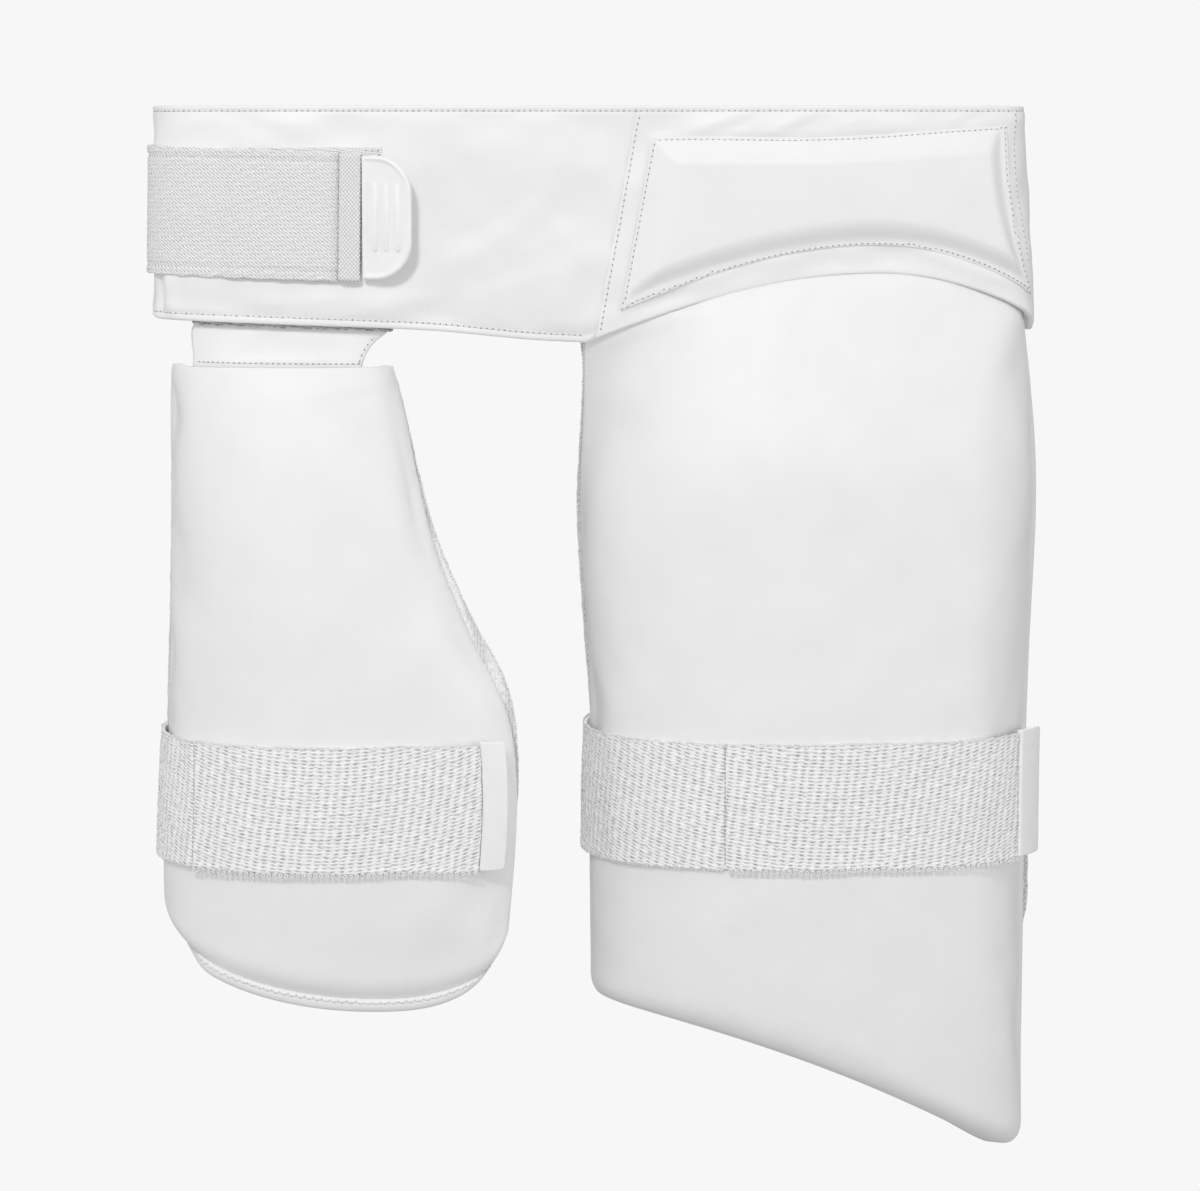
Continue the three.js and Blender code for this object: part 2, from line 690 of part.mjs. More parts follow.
// The pull tab: a plate with round outer corners and plain grip ribs, in its own plane.
function pullTab() {
  const half = TAB_HEIGHT / 2;
  const corner = Math.min(TAB_CORNER, TAB_LENGTH);
  const outline = new THREE.Shape();
  outline.moveTo(0, -half);
  outline.absarc(TAB_LENGTH - corner, corner - half, corner, -Math.PI / 2, 0);
  outline.absarc(TAB_LENGTH - corner, half - corner, corner, 0, Math.PI / 2);
  outline.lineTo(0, half);
  const options = { depth: TAB_THICK, bevelEnabled: false, curveSegments: 8 };
  let solid = toSolid(new THREE.ExtrudeGeometry(outline, options));
  for (let k = 0; k < RIB_COUNT; k += 1) {
    const x = TAB_LENGTH / 2 + (k - (RIB_COUNT - 1) / 2) * RIB_PITCH;
    solid = solid.add(toSolid(ribGeometry().translate(x, 0, TAB_THICK / 2)));
  }
  return toGeometry(solid).rotateX(Math.PI / 2);
}

const flapX = (side, down) => INNER_X + INNER_WIDTH * through(FLAP_EDGES, side, down);

// The hook tape is sewn to the flap and shows as a fuzzy line below the belt.
function flapHookTape() {
  const ring = waistRing(beltBottom);
  const columns = stops(alongAt(ring, flapX("left", 0)), alongAt(ring, flapX("right", 0)));
  const heights = (along) => {
    const edge = beltEdgeZ(along);
    return [edge + FLAP_TUCK_UP, edge, edge - HOOK_TAPE_PROUD];
  };
  const outside = -BELT_THICK - GAP;
  const layers = () => ({ inside: outside - HOOK_TAPE_THICK, outside });
  return bandSolid(waistRing, beltBottom, columns, heights, layers);
}

// The flap hangs from the hook tape and is sewn behind the inner pad's top.
function innerFlap() {
  const columns = 12;
  const rows = 7;
  return sheetSolid(columns, rows, (column, row, side) => {
    const across = column / (columns - 1);
    const edge = beltEdgeZ(lerp(flapX("left", 0), flapX("right", 0), across));
    const top = edge + FLAP_TUCK_UP;
    const z = evenly(top, INNER_TOP_Z - FLAP_TUCK_DOWN, rows)[row];
    const down = clamp((edge - z) / (edge - INNER_TOP_Z), 0, 1);
    const x = lerp(flapX("left", down), flapX("right", down), across);
    const thick = side ? 0 : -FLAP_THICK;
    const hung = waistRing(Math.max(z, edge));
    const sewn = innerRing(Math.min(z, INNER_TOP_Z));
    const tape = -BELT_THICK - HOOK_TAPE_THICK - 2 * SEAT;
    const carried = place(hung, alongAt(hung, x), tape + thick, z);
    const joined = place(sewn, alongAt(sewn, x), thick - PAD_TOP_THICK - SEAT, z);
    return carried.lerp(joined, smoothstep(down, 0.1, 0.9));
  });
}

// A thigh strap with its hook patch and its end tab. It is sewn behind the lining at the
// pad's outer edge, runs round the leg and lies over the pad's face up to its tab.
function strapSet({ ringAt, rightReach, thick, z, endX, tabLength, hookX }) {
  const ring = ringAt(z);
  const padRight = rightReach(ring);
  const padEdge = padRight - ring.around;
  const finish = alongAt(ring, endX);
  const hook = alongAt(ring, hookX);
  const top = z + STRAP_HEIGHT / 2;
  const bottom = z - STRAP_HEIGHT / 2;
  const behind = (along) => {
    const share = 1 - Math.max(0, padEdge - along) / (ring.toLeft + padRight);
    return -fullDepth(share, thick) - LINING_THICK - 2 * SEAT - STRAP_THICK;
  };
  const inside = (along) => {
    const turn = smoothstep(along, padEdge + STEP, -ring.toLeft - STEP);
    const lift = smoothstep(along, hook - 2 * STEP, hook - STEP / 2);
    return lerp(behind(along), SEAT, turn) + (STRAP_HOOK_THICK + GAP) * lift;
  };
  const band = (columns, heights, innerFace, depth) =>
    bandSolid(ringAt, z, columns, () => heights, (along) => ({
      inside: innerFace(along),
      outside: innerFace(along) + depth,
    }));
  const full = evenly(top, bottom, 3);
  const hooked = [top, z, bottom - STRAP_HOOK_PROUD];
  const loop = stops(padEdge - STRAP_ANCHOR, finish, [padEdge, hook - STEP / 2]);
  return {
    strap: band(loop, full, inside, STRAP_THICK),
    hook: band(stops(hook, finish), hooked, () => SEAT, STRAP_HOOK_THICK),
    tab: band(stops(finish + GAP, finish + tabLength), full, inside, STRAP_TAB_THICK),
  };
}

const outerStrap = strapSet({
  ringAt: outerRing,
  rightReach: (ring) => ring.toRight,
  thick: OUTER_THICK,
  z: OUTER_STRAP_Z,
  endX: OUTER_STRAP_END_X,
  tabLength: OUTER_STRAP_TAB,
  hookX: OUTER_STRAP_HOOK_X,
});

const innerStrap = strapSet({
  ringAt: innerRing,
  rightReach: (ring) => ring.toRight * INNER_EDGE_REACH,
  thick: INNER_THICK,
  z: INNER_STRAP_Z,
  endX: INNER_STRAP_END_X,
  tabLength: INNER_STRAP_TAB,
  hookX: INNER_STRAP_HOOK_X,
});

const guard = new THREE.Group();

function addPiece(parent, name, geometry, material) {
  const mesh = new THREE.Mesh(geometry, material);
  mesh.name = name;
  parent.add(mesh);
  return mesh;
}

const belt = new THREE.Group();
addPiece(belt, "belt_wing", beltWing(), white(LEATHER));
addPiece(belt, "hip_panel", hipPanel(), white(LEATHER));
addPiece(belt, "hip_pad", hipPad(), white(LEATHER));
addPiece(belt, "belt_loop_patch", beltLoopPatch(), white(FUZZ));
addPiece(belt, "waist_elastic", waistElastic(), white(KNIT, 0xe8e8e8));

const tab = addPiece(belt, "pull_tab", pullTab(), white(MOULDED));
const tabLean = Math.asin(TAB_LIFT / TAB_LENGTH);
tab.position.set(
  elasticEndX + GAP + TAB_THICK * Math.sin(tabLean),
  -WAIST_FRONT - GAP - PATCH_THICK - GAP,
  ELASTIC_RISE - ELASTIC_FALL,
);
tab.rotation.z = -tabLean;

const outerLeg = new THREE.Group();
addPiece(outerLeg, "outer_pad", padSolid(outerGrid, outerPoint), white(LEATHER));
addPiece(outerLeg, "outer_lining", liningSolid(outerGrid, outerPoint), white(FUZZ, 0xdddddd));
addPiece(outerLeg, "outer_strap", outerStrap.strap, white(FUZZ, 0xe8e8e8));
addPiece(outerLeg, "outer_strap_hook", outerStrap.hook, white(FUZZ));
addPiece(outerLeg, "outer_strap_tab", outerStrap.tab, white(MOULDED));

const innerLeg = new THREE.Group();
addPiece(innerLeg, "inner_pad", padSolid(innerGrid, innerPoint), white(LEATHER));
addPiece(innerLeg, "inner_lining", liningSolid(innerLiningGrid, innerPoint), white(FUZZ, 0xdddddd));
addPiece(innerLeg, "inner_binding", innerBinding(), white(LEATHER));
addPiece(innerLeg, "inner_flap", innerFlap(), white(LEATHER));
addPiece(innerLeg, "flap_hook_tape", flapHookTape(), white(FUZZ, 0xb0b0b0));
addPiece(innerLeg, "inner_strap", innerStrap.strap, white(FUZZ, 0xe8e8e8));
addPiece(innerLeg, "inner_strap_hook", innerStrap.hook, white(FUZZ));
addPiece(innerLeg, "inner_strap_tab", innerStrap.tab, white(MOULDED));

guard.add(belt, outerLeg, innerLeg);

export default guard;
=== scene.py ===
import math

import bpy
import numpy as np
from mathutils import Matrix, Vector
from mathutils.bvhtree import BVHTree


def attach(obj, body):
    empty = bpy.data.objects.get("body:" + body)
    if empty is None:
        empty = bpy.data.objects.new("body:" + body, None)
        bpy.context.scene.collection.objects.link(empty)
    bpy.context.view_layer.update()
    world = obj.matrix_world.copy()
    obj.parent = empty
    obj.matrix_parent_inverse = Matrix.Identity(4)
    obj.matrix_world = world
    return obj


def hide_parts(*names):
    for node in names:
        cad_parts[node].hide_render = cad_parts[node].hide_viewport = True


# A cricket thigh guard: the looks of its belt, pads, straps and stitching, built round the frame.
# Lengths are in millimetres until a mesh is made, and the frame is the row's own.

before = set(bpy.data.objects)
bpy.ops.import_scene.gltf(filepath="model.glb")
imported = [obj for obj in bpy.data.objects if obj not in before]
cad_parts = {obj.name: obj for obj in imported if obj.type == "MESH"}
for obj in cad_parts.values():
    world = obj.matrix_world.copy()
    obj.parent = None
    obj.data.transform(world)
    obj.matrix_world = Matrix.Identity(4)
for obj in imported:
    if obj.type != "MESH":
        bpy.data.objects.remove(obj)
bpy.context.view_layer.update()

MM = 0.001
BODY = "root"

# The loops of the belt and the pads, as in the part's source
WAIST_WIDTH = 448
WAIST_FRONT = 82
WAIST_BACK = 62
WAIST_SIDE = 45
BELT_TOP = 53
BELT_BOTTOM = -53
BELT_THICK = 4
WING_DIP = 11.6
SEAM_X = 13
SEAM_LEAN = 9.6
PANEL_RETURN = 50
ARCH_START = -4
ARCH_PEAK = 143
ARCH_PEAK_Z = -30
ARCH_DROP_IN = 34.6
ARCH_DROP_OUT = 30
ARCH_SPAN_OUT = 102

HIP_RISE = 8
HIP_TOP_Z = 37.4
HIP_TOP_CLIMB = 5.6
HIP_TOP_DIP = 2.6
HIP_LEFT_TOP = 29.8
HIP_LEFT_BOTTOM = 14
HIP_RIGHT_TOP = 209
HIP_RIGHT_BOTTOM = 226
HIP_RIGHT_CURVE = 2.2
HIP_MARGIN = 8
HIP_MARGIN_CROWN = 6

OUTER_X = 110
OUTER_WIDTH = 237
OUTER_FRONT = 106
OUTER_SIDE = 25
OUTER_TOP_Z = -60
OUTER_HEIGHT = 430
OUTER_THICK = 18
OUTER_TUCK = 12
PAD_EMERGE = 110
OUTER_LEFT_BOTTOM_Z = -405.5
OUTER_POINT_DROP = 79.5
OUTER_POINT_POWER = 1.56
OUTER_CORNER = 18

INNER_X = -130
INNER_WIDTH = 184
INNER_FRONT = 105
INNER_TOP_Z = -77
INNER_HEIGHT = 325.5
INNER_BOTTOM_Z = INNER_TOP_Z - INNER_HEIGHT
INNER_THICK = 14
INNER_LOWEST = 0.67
INNER_CLIMB_LEFT = 46
INNER_CLIMB_RIGHT = 34
INNER_CURVE_LEFT = 2
INNER_CURVE_RIGHT = 2.8
INNER_CORNER = 15
INNER_APEX = 0.56
INNER_EDGE_TURN = 0.667
INNER_EDGE_REACH = 0.93
BINDING_WIDTH = 5

PAD_BACK = 62
PAD_EDGE_THICK = 9
PAD_TOP_THICK = 5.5
PAD_RIM = 4.5
PAD_BEVEL = 12
LINING_THICK = 2
LINING_PROUD = 2.2

STRAP_HEIGHT = 64
STRAP_THICK = 2.2
STRAP_ANCHOR = 12
STRAP_HOOK_THICK = 1.2
STRAP_TAB_THICK = 2.6
OUTER_STRAP_Z = -295.5
INNER_STRAP_Z = -297

ELASTIC_HEIGHT = 64
ELASTIC_THICK = 2
ELASTIC_RISE = 1.6
ELASTIC_FALL = 3.9
ELASTIC_END_X = -115
HEM_LENGTH = 11
HEM_THICK = 5
PATCH_START_X = -172
PATCH_END_X = -104.4
PATCH_Z = 0.8
PATCH_HEIGHT = 63.6
PATCH_THICK = 1.2

FLAP_LAP = 9
FLAP_THICK = 2
TAPE_RISE = 17
TAPE_THICK = 1.5

GAP = 0.3
SEAT = 0.6

CORNERS = {"belt": 0.86, "leg": 0.68, "inner_edge": 0.75, "back": 0.6}

WAIST_RING = {"down": [0, 0.3, 1], "left": [0.4955, 0.4965, 0.4996], "right": [0.4856, 0.4914, 0.5]}
WING_EDGE = {"down": [0, 0.36, 0.67, 0.88, 1], "drop": [0, 0.24, 0.48, 0.87, 1]}
OUTER_RING = {
    "down": [0, 0.11, 0.22, 0.45, 0.66, 1],
    "left": [0.48, 0.498, 0.497, 0.475, 0.4768, 0.468],
    "right": [0.502, 0.509, 0.505, 0.49, 0.488, 0.486],
    "front": [0.95, 0.985, 1, 0.992, 0.945, 0.81],
}
INNER_RING = {
    "down": [0, 0.065, 0.18, 0.29, 0.42, 0.535, 0.645, 0.78, 1],
    "left": [0.458, 0.464, 0.47, 0.4745, 0.481, 0.489, 0.4946, 0.505, 0.503],
    "right": [0.165, 0.196, 0.242, 0.2935, 0.3875, 0.486, 0.5136, 0.5054, 0.467],
    "front": [0.83, 0.875, 0.94, 0.975, 0.995, 1, 1, 0.985, 0.925],
    "side": [0.5, 0.46, 0.36, 0.3, 0.27, 0.265, 0.265, 0.265, 0.27],
}
FLAP_EDGES = {"down": [0, 0.35, 1], "left": [-0.395, -0.41, -0.4185], "right": [0.163, 0.12, 0.0945]}


def mix(a, b, t):
    return a + (b - a) * t


def smooth(x, low, high):
    """A rise from 0 to 1 between two values."""
    t = np.clip((np.asarray(x, float) - low) / (high - low), 0, 1)
    return t * t * (3 - 2 * t)


def ridge(x, centre, width):
    """A soft ridge, 1 high at its centre."""
    return np.exp(-(((x - centre) / width) ** 2))


def unit(vectors):
    return vectors / np.linalg.norm(vectors, axis=-1)[..., None]


def square_to(normals, along):
    """The normals turned to stand at a right angle to the directions along."""
    return unit(normals - along * (normals * along).sum(-1)[..., None])


def through(table, name, share):
    """The value of one column of a table, on a smooth curve through its rows."""
    down = np.asarray(table["down"], float)
    value = np.asarray(table[name], float)
    at = np.clip(np.asarray(share, float), down[0], down[-1])
    k = np.clip(np.searchsorted(down, at), 1, len(down) - 1)
    before = np.maximum(np.arange(len(down)) - 1, 0)
    after = np.minimum(np.arange(len(down)) + 1, len(down) - 1)
    slope = (value[after] - value[before]) / (down[after] - down[before])
    span = down[k] - down[k - 1]
    t = (at - down[k - 1]) / span
    rise = t * t * (3 - 2 * t)
    lead = t * (1 - t) ** 2 * span * slope[k - 1]
    trail = t * t * (t - 1) * span * slope[k]
    return value[k - 1] + (value[k] - value[k - 1]) * rise + lead + trail


class Loop:
    """A loop round the waist or a leg at every height: a table of points and outward directions."""

    SAMPLES = 1440
    STEP = 2.0
    CURVE_STEPS = 400
    HALVINGS = 30

    def __init__(self, plan, low, high):
        self.low = low
        levels = np.arange(low, high + self.STEP, self.STEP)
        made = [self.ring(**plan(z)) for z in levels]
        self.table = np.array([m[0] for m in made])
        self.around, self.to_left, self.to_right = (np.array([m[k] for m in made]) for k in (1, 2, 3))
        self.levels = levels

    def ring(self, left, right, front, back, middle, left_side, right_side, corners):
        tips = np.array([[middle, front], [right, right_side], [middle, back], [left, left_side]], float)
        t = np.linspace(0, 1, self.CURVE_STEPS)[:, None]
        quarters = []
        for k, share in enumerate(corners):
            a, d = tips[k], tips[(k + 1) % 4]
            if k % 2 == 0:
                b, c = np.array([mix(a[0], d[0], share), a[1]]), np.array([d[0], mix(d[1], a[1], share)])
            else:
                b, c = np.array([a[0], mix(a[1], d[1], share)]), np.array([mix(d[0], a[0], share), d[1]])
            quarters.append(a * (1 - t) ** 3 + 3 * b * t * (1 - t) ** 2 + 3 * c * t * t * (1 - t) + d * t**3)
        lengths = [np.linalg.norm(np.diff(q, axis=0), axis=1).sum() for q in quarters]
        line = np.concatenate([quarters[0], quarters[1][1:], quarters[2][1:], quarters[3][1:]])
        run = np.concatenate([[0], np.cumsum(np.linalg.norm(np.diff(line, axis=0), axis=1))])
        stations = np.linspace(0, run[-1], self.SAMPLES + 1)
        x, y = np.interp(stations, run, line[:, 0]), np.interp(stations, run, line[:, 1])
        tangent = np.stack([np.gradient(x), np.gradient(y)], -1)
        tangent[0] = tangent[-1] = (tangent[0] + tangent[-1]) / 2
        tangent = unit(tangent)
        table = np.stack([x, y, tangent[:, 1], -tangent[:, 0]], -1)
        return table, run[-1], lengths[3], lengths[0]

    def size(self, which, z):
        return np.interp(z, self.levels, which)

    def look(self, along, z):
        along, z = np.broadcast_arrays(np.asarray(along, float), np.asarray(z, float))
        level = np.clip((z - self.low) / self.STEP, 0, len(self.levels) - 1.001)
        k = level.astype(int)
        f = (level - k)[..., None]
        share = np.mod(along / self.size(self.around, z), 1) * self.SAMPLES
        j = np.minimum(share.astype(int), self.SAMPLES - 1)
        g = (share - j)[..., None]
        low = mix(self.table[k, j], self.table[k, j + 1], g)
        high = mix(self.table[k + 1, j], self.table[k + 1, j + 1], g)
        return mix(low, high, f)

    def at(self, along, z, out=0.0):
        """Points on the loop at distances along it from its foremost line, moved outwards."""
        found = self.look(along, z)
        out = np.broadcast_to(np.asarray(out, float), found.shape[:-1])[..., None]
        flat = found[..., :2] + unit(found[..., 2:]) * out
        height = np.broadcast_to(np.asarray(z, float), found.shape[:-1])
        return np.concatenate([flat, height[..., None]], -1)

    def across(self, x, z):
        """The distance along the loop's front at which it passes x."""
        x, z = np.broadcast_arrays(np.asarray(x, float), np.asarray(z, float))
        low, high = -self.size(self.to_left, z), self.size(self.to_right, z)
        for _ in range(self.HALVINGS):
            middle = (low + high) / 2
            left_of = self.look(middle, z)[..., 0] < x
            low, high = np.where(left_of, middle, low), np.where(left_of, high, middle)
        return (low + high) / 2


def waist_plan(z):
    down = (BELT_TOP - z) / (BELT_TOP - BELT_BOTTOM)
    return {
        "left": -WAIST_WIDTH * through(WAIST_RING, "left", down),
        "right": WAIST_WIDTH * through(WAIST_RING, "right", down),
        "middle": 0, "front": -WAIST_FRONT, "back": WAIST_BACK,
        "left_side": -WAIST_SIDE, "right_side": -WAIST_SIDE,
        "corners": [CORNERS["belt"], CORNERS["back"], CORNERS["back"], CORNERS["belt"]],
    }


def outer_plan(z):
    down = (OUTER_TOP_Z - z) / OUTER_HEIGHT
    return {
        "left": OUTER_X - OUTER_WIDTH * through(OUTER_RING, "left", down),
        "right": OUTER_X + OUTER_WIDTH * through(OUTER_RING, "right", down),
        "middle": OUTER_X, "front": -OUTER_FRONT * through(OUTER_RING, "front", down), "back": PAD_BACK,
        "left_side": -OUTER_SIDE, "right_side": -OUTER_SIDE,
        "corners": [CORNERS["leg"], CORNERS["back"], CORNERS["back"], CORNERS["leg"]],
    }


def inner_plan(z):
    down = (INNER_TOP_Z - z) / INNER_HEIGHT
    left = INNER_X - INNER_WIDTH * through(INNER_RING, "left", down)
    right = INNER_X + INNER_WIDTH * through(INNER_RING, "right", down)
    front = -INNER_FRONT * through(INNER_RING, "front", down)
    return {
        "left": left, "right": right, "middle": mix(left, right, INNER_APEX), "front": front,
        "back": PAD_BACK, "left_side": front * through(INNER_RING, "side", down),
        "right_side": front * INNER_EDGE_TURN,
        "corners": [CORNERS["inner_edge"], CORNERS["back"], CORNERS["back"], CORNERS["leg"]],
    }


waist = Loop(waist_plan, -90, 60)
outer = Loop(outer_plan, -500, 0)
inner = Loop(inner_plan, -420, -60)


LATTICE = 128


def value_noise(seed):
    """A smooth field of lumps about one unit across, the same at each run."""
    lattice = np.random.RandomState(seed).uniform(-1, 1, (LATTICE, LATTICE))

    def field(x, y):
        i, j = np.floor(x).astype(int), np.floor(y).astype(int)
        f, g = x - i, y - j
        f, g = f * f * (3 - 2 * f), g * g * (3 - 2 * g)
        i, j = i % LATTICE, j % LATTICE
        i1, j1 = (i + 1) % LATTICE, (j + 1) % LATTICE
        return mix(mix(lattice[i, j], lattice[i1, j], f), mix(lattice[i, j1], lattice[i1, j1], f), g)

    return field


lumps = value_noise(7)
fluff = value_noise(23)


def layers(field, rows, along, z):
    """Lumps of several sizes laid over each other. A row is a rise, a length, a height and a shift."""
    return sum(rise * field(along / length + shift, z / height) for rise, length, height, shift in rows)


# Where the rows of a rounded edge lie, as shares of its bevel
EDGE = np.array([0, 0.012, 0.04, 0.085, 0.15, 0.23, 0.33, 0.45, 0.6, 0.79, 1])


def edge_stops(length, bevel, step):
    """Stops across a length: close together at both rounded edges and even between."""
    count = max(2, int(round((np.max(length) - 2 * bevel) / step)))
    inside = np.linspace(0, 1, count + 1)[1:-1]
    length = np.asarray(length, float)[..., None]
    edge = EDGE * bevel
    return np.concatenate(
        [edge + 0 * length, bevel + (length - 2 * bevel) * inside, length - edge[::-1]], -1
    )


def mesh_of(name, points, faces, cloth=None):
    mesh = bpy.data.meshes.new(name)
    faces = faces.tolist() if isinstance(faces, np.ndarray) else faces
    mesh.from_pydata((np.asarray(points) * MM).tolist(), [], faces)
    if cloth is not None:
        held = mesh.attributes.new("cloth", "FLOAT_VECTOR", "POINT")
        held.data.foreach_set("vector", np.ascontiguousarray(cloth, np.float32).ravel())
    mesh.shade_smooth()
    return mesh


def grid_quads(index):
    """The faces between the points of a grid."""
    a, b, c, d = index[:-1, :-1], index[1:, :-1], index[1:, 1:], index[:-1, 1:]
    return np.stack([a, b, c, d], -1).reshape(-1, 4)


def shell(name, face, back, cloth):
    """A closed piece between two grids of points. Rows run down and columns to the right, from outside."""
    rows, columns = face.shape[:2]
    count = rows * columns
    index = np.arange(count).reshape(rows, columns)
    border = np.concatenate([index[0, :-1], index[:-1, -1], index[-1, :0:-1], index[:0:-1, 0]])
    after = np.roll(border, -1)
    rim = np.stack([border, after, after + count, border + count], -1)
    faces = np.concatenate([grid_quads(index), grid_quads(index)[:, ::-1] + count, rim])
    points = np.concatenate([face.reshape(-1, 3), back.reshape(-1, 3)])
    return mesh_of(name, points, faces, np.concatenate([cloth.reshape(-1, 3)] * 2))


def cloth_of(along, z):
    """Where each point lies on its cloth, in millimetres, for the finish to read."""
    along, z = np.broadcast_arrays(np.asarray(along, float), np.asarray(z, float))
    return np.stack([along, z, 0 * z], -1)


def blurred(field, width, axis):
    """The field smoothed along one axis by three passes of a running mean."""
    width = max(1, int(width) | 1)
    for _ in range(3):
        ends = [(0, 0), (0, 0)]
        ends[axis] = (width // 2, width // 2)
        total = np.cumsum(np.pad(field, ends, "edge"), axis)
        total = np.concatenate([np.zeros_like(total.take([0], axis)), total], axis)
        count = field.shape[axis]
        field = (total.take(range(width, width + count), axis) - total.take(range(count), axis)) / width
    return field


SIM_FRAMES = 20
SIM_SPACING = 9.0
SIM_BLUR = 1.2
SIM_CLOTH = {
    "quality": 6, "mass": 0.3, "tension_stiffness": 12, "compression_stiffness": 12, "shear_stiffness": 6,
    "bending_stiffness": 1.5, "use_pressure": True, "vertex_group_mass": "held",
}


def cloth_swell(face, pressure, slack, cap):
    """How far a cover of thin cloth, held round its edge, stands out when its foam presses on it."""
    lengths = [np.linalg.norm(np.diff(face, axis=k), axis=-1).sum(k).max() for k in (0, 1)]
    picks = [np.linspace(0, face.shape[k] - 1, int(lengths[k] / SIM_SPACING) + 2) for k in (0, 1)]
    rows, columns = (np.unique(pick.round().astype(int)) for pick in picks)
    coarse = face[np.ix_(rows, columns)]
    index = np.arange(coarse.shape[0] * coarse.shape[1]).reshape(coarse.shape[:2])
    cover = bpy.data.objects.new("cloth", mesh_of("cloth", coarse.reshape(-1, 3), grid_quads(index)))
    scene = bpy.context.scene
    scene.collection.objects.link(cover)
    edge = np.concatenate([index[0], index[-1], index[:, 0], index[:, -1]])
    cover.vertex_groups.new(name="held").add(np.unique(edge).tolist(), 1.0, "REPLACE")
    cloth = cover.modifiers.new("cloth", "CLOTH")
    cloth.collision_settings.use_collision = False
    cloth.point_cache.frame_start = 1
    cloth.point_cache.frame_end = SIM_FRAMES
    for key, value in SIM_CLOTH.items():
        setattr(cloth.settings, key, value)
    cloth.settings.uniform_pressure_force = pressure
    cloth.settings.shrink_min = -slack
    cloth.settings.effector_weights.gravity = 0
    for step in range(1, SIM_FRAMES + 1):
        scene.frame_set(step)
    shaped = cover.evaluated_get(bpy.context.evaluated_depsgraph_get()).data
    moved = np.array([v.co[:] for v in shaped.vertices]).reshape(coarse.shape) / MM
    scene.frame_set(1)
    bpy.data.objects.remove(cover)
    out = unit(np.cross(np.gradient(coarse, axis=0), np.gradient(coarse, axis=1)))
    rise = np.clip(((moved - coarse) * out).sum(-1), -cap, cap)
    fine = np.stack([np.interp(np.arange(face.shape[1]), columns, row) for row in rise])
    fine = np.stack([np.interp(np.arange(face.shape[0]), rows, column) for column in fine.T], 1)
    fine = blurred(fine, face.shape[0] / len(rows) * SIM_BLUR, 0)
    return blurred(fine, face.shape[1] / len(columns) * SIM_BLUR, 1)


def add(name, mesh, finish, slot, *nodes):
    """A new piece with its finish, which stands for the named nodes."""
    piece = bpy.data.objects.new(name, mesh)
    bpy.context.scene.collection.objects.link(piece)
    mesh.materials.append(finish)
    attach(piece, BODY)
    if nodes:
        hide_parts(*nodes)
    return piece


def face_area(grid):
    """The area of a grid of points, in square metres."""
    a, b, c, d = grid[:-1, :-1], grid[1:, :-1], grid[1:, 1:], grid[:-1, 1:]
    halves = np.cross(b - a, c - a), np.cross(c - a, d - a)
    return sum(np.linalg.norm(h, axis=-1).sum() / 2 for h in halves) * MM * MM


def declare_sheet(grid):
    """Works out the flat size the sheet was cut to, its longest row and column and its own area, but keeps
    none of it.
    """
    wide, high = (np.linalg.norm(np.diff(grid, axis=k), axis=-1).sum(axis=k).max() * MM for k in (1, 0))
    min(face_area(grid), wide * high)


# Finishes

WAVE = 0.314  # a wave texture's length at scale 1


def add_node(tree, kind, inputs=(), **settings):
    """A shader node with its settings. Each input is set to a value or joined to an output."""
    made = tree.nodes.new("ShaderNode" + kind)
    for key, value in settings.items():
        setattr(made, key, value)
    for key, value in dict(inputs).items():
        if isinstance(value, bpy.types.NodeSocket):
            tree.links.new(value, made.inputs[key])
        else:
            made.inputs[key].default_value = value
    return made


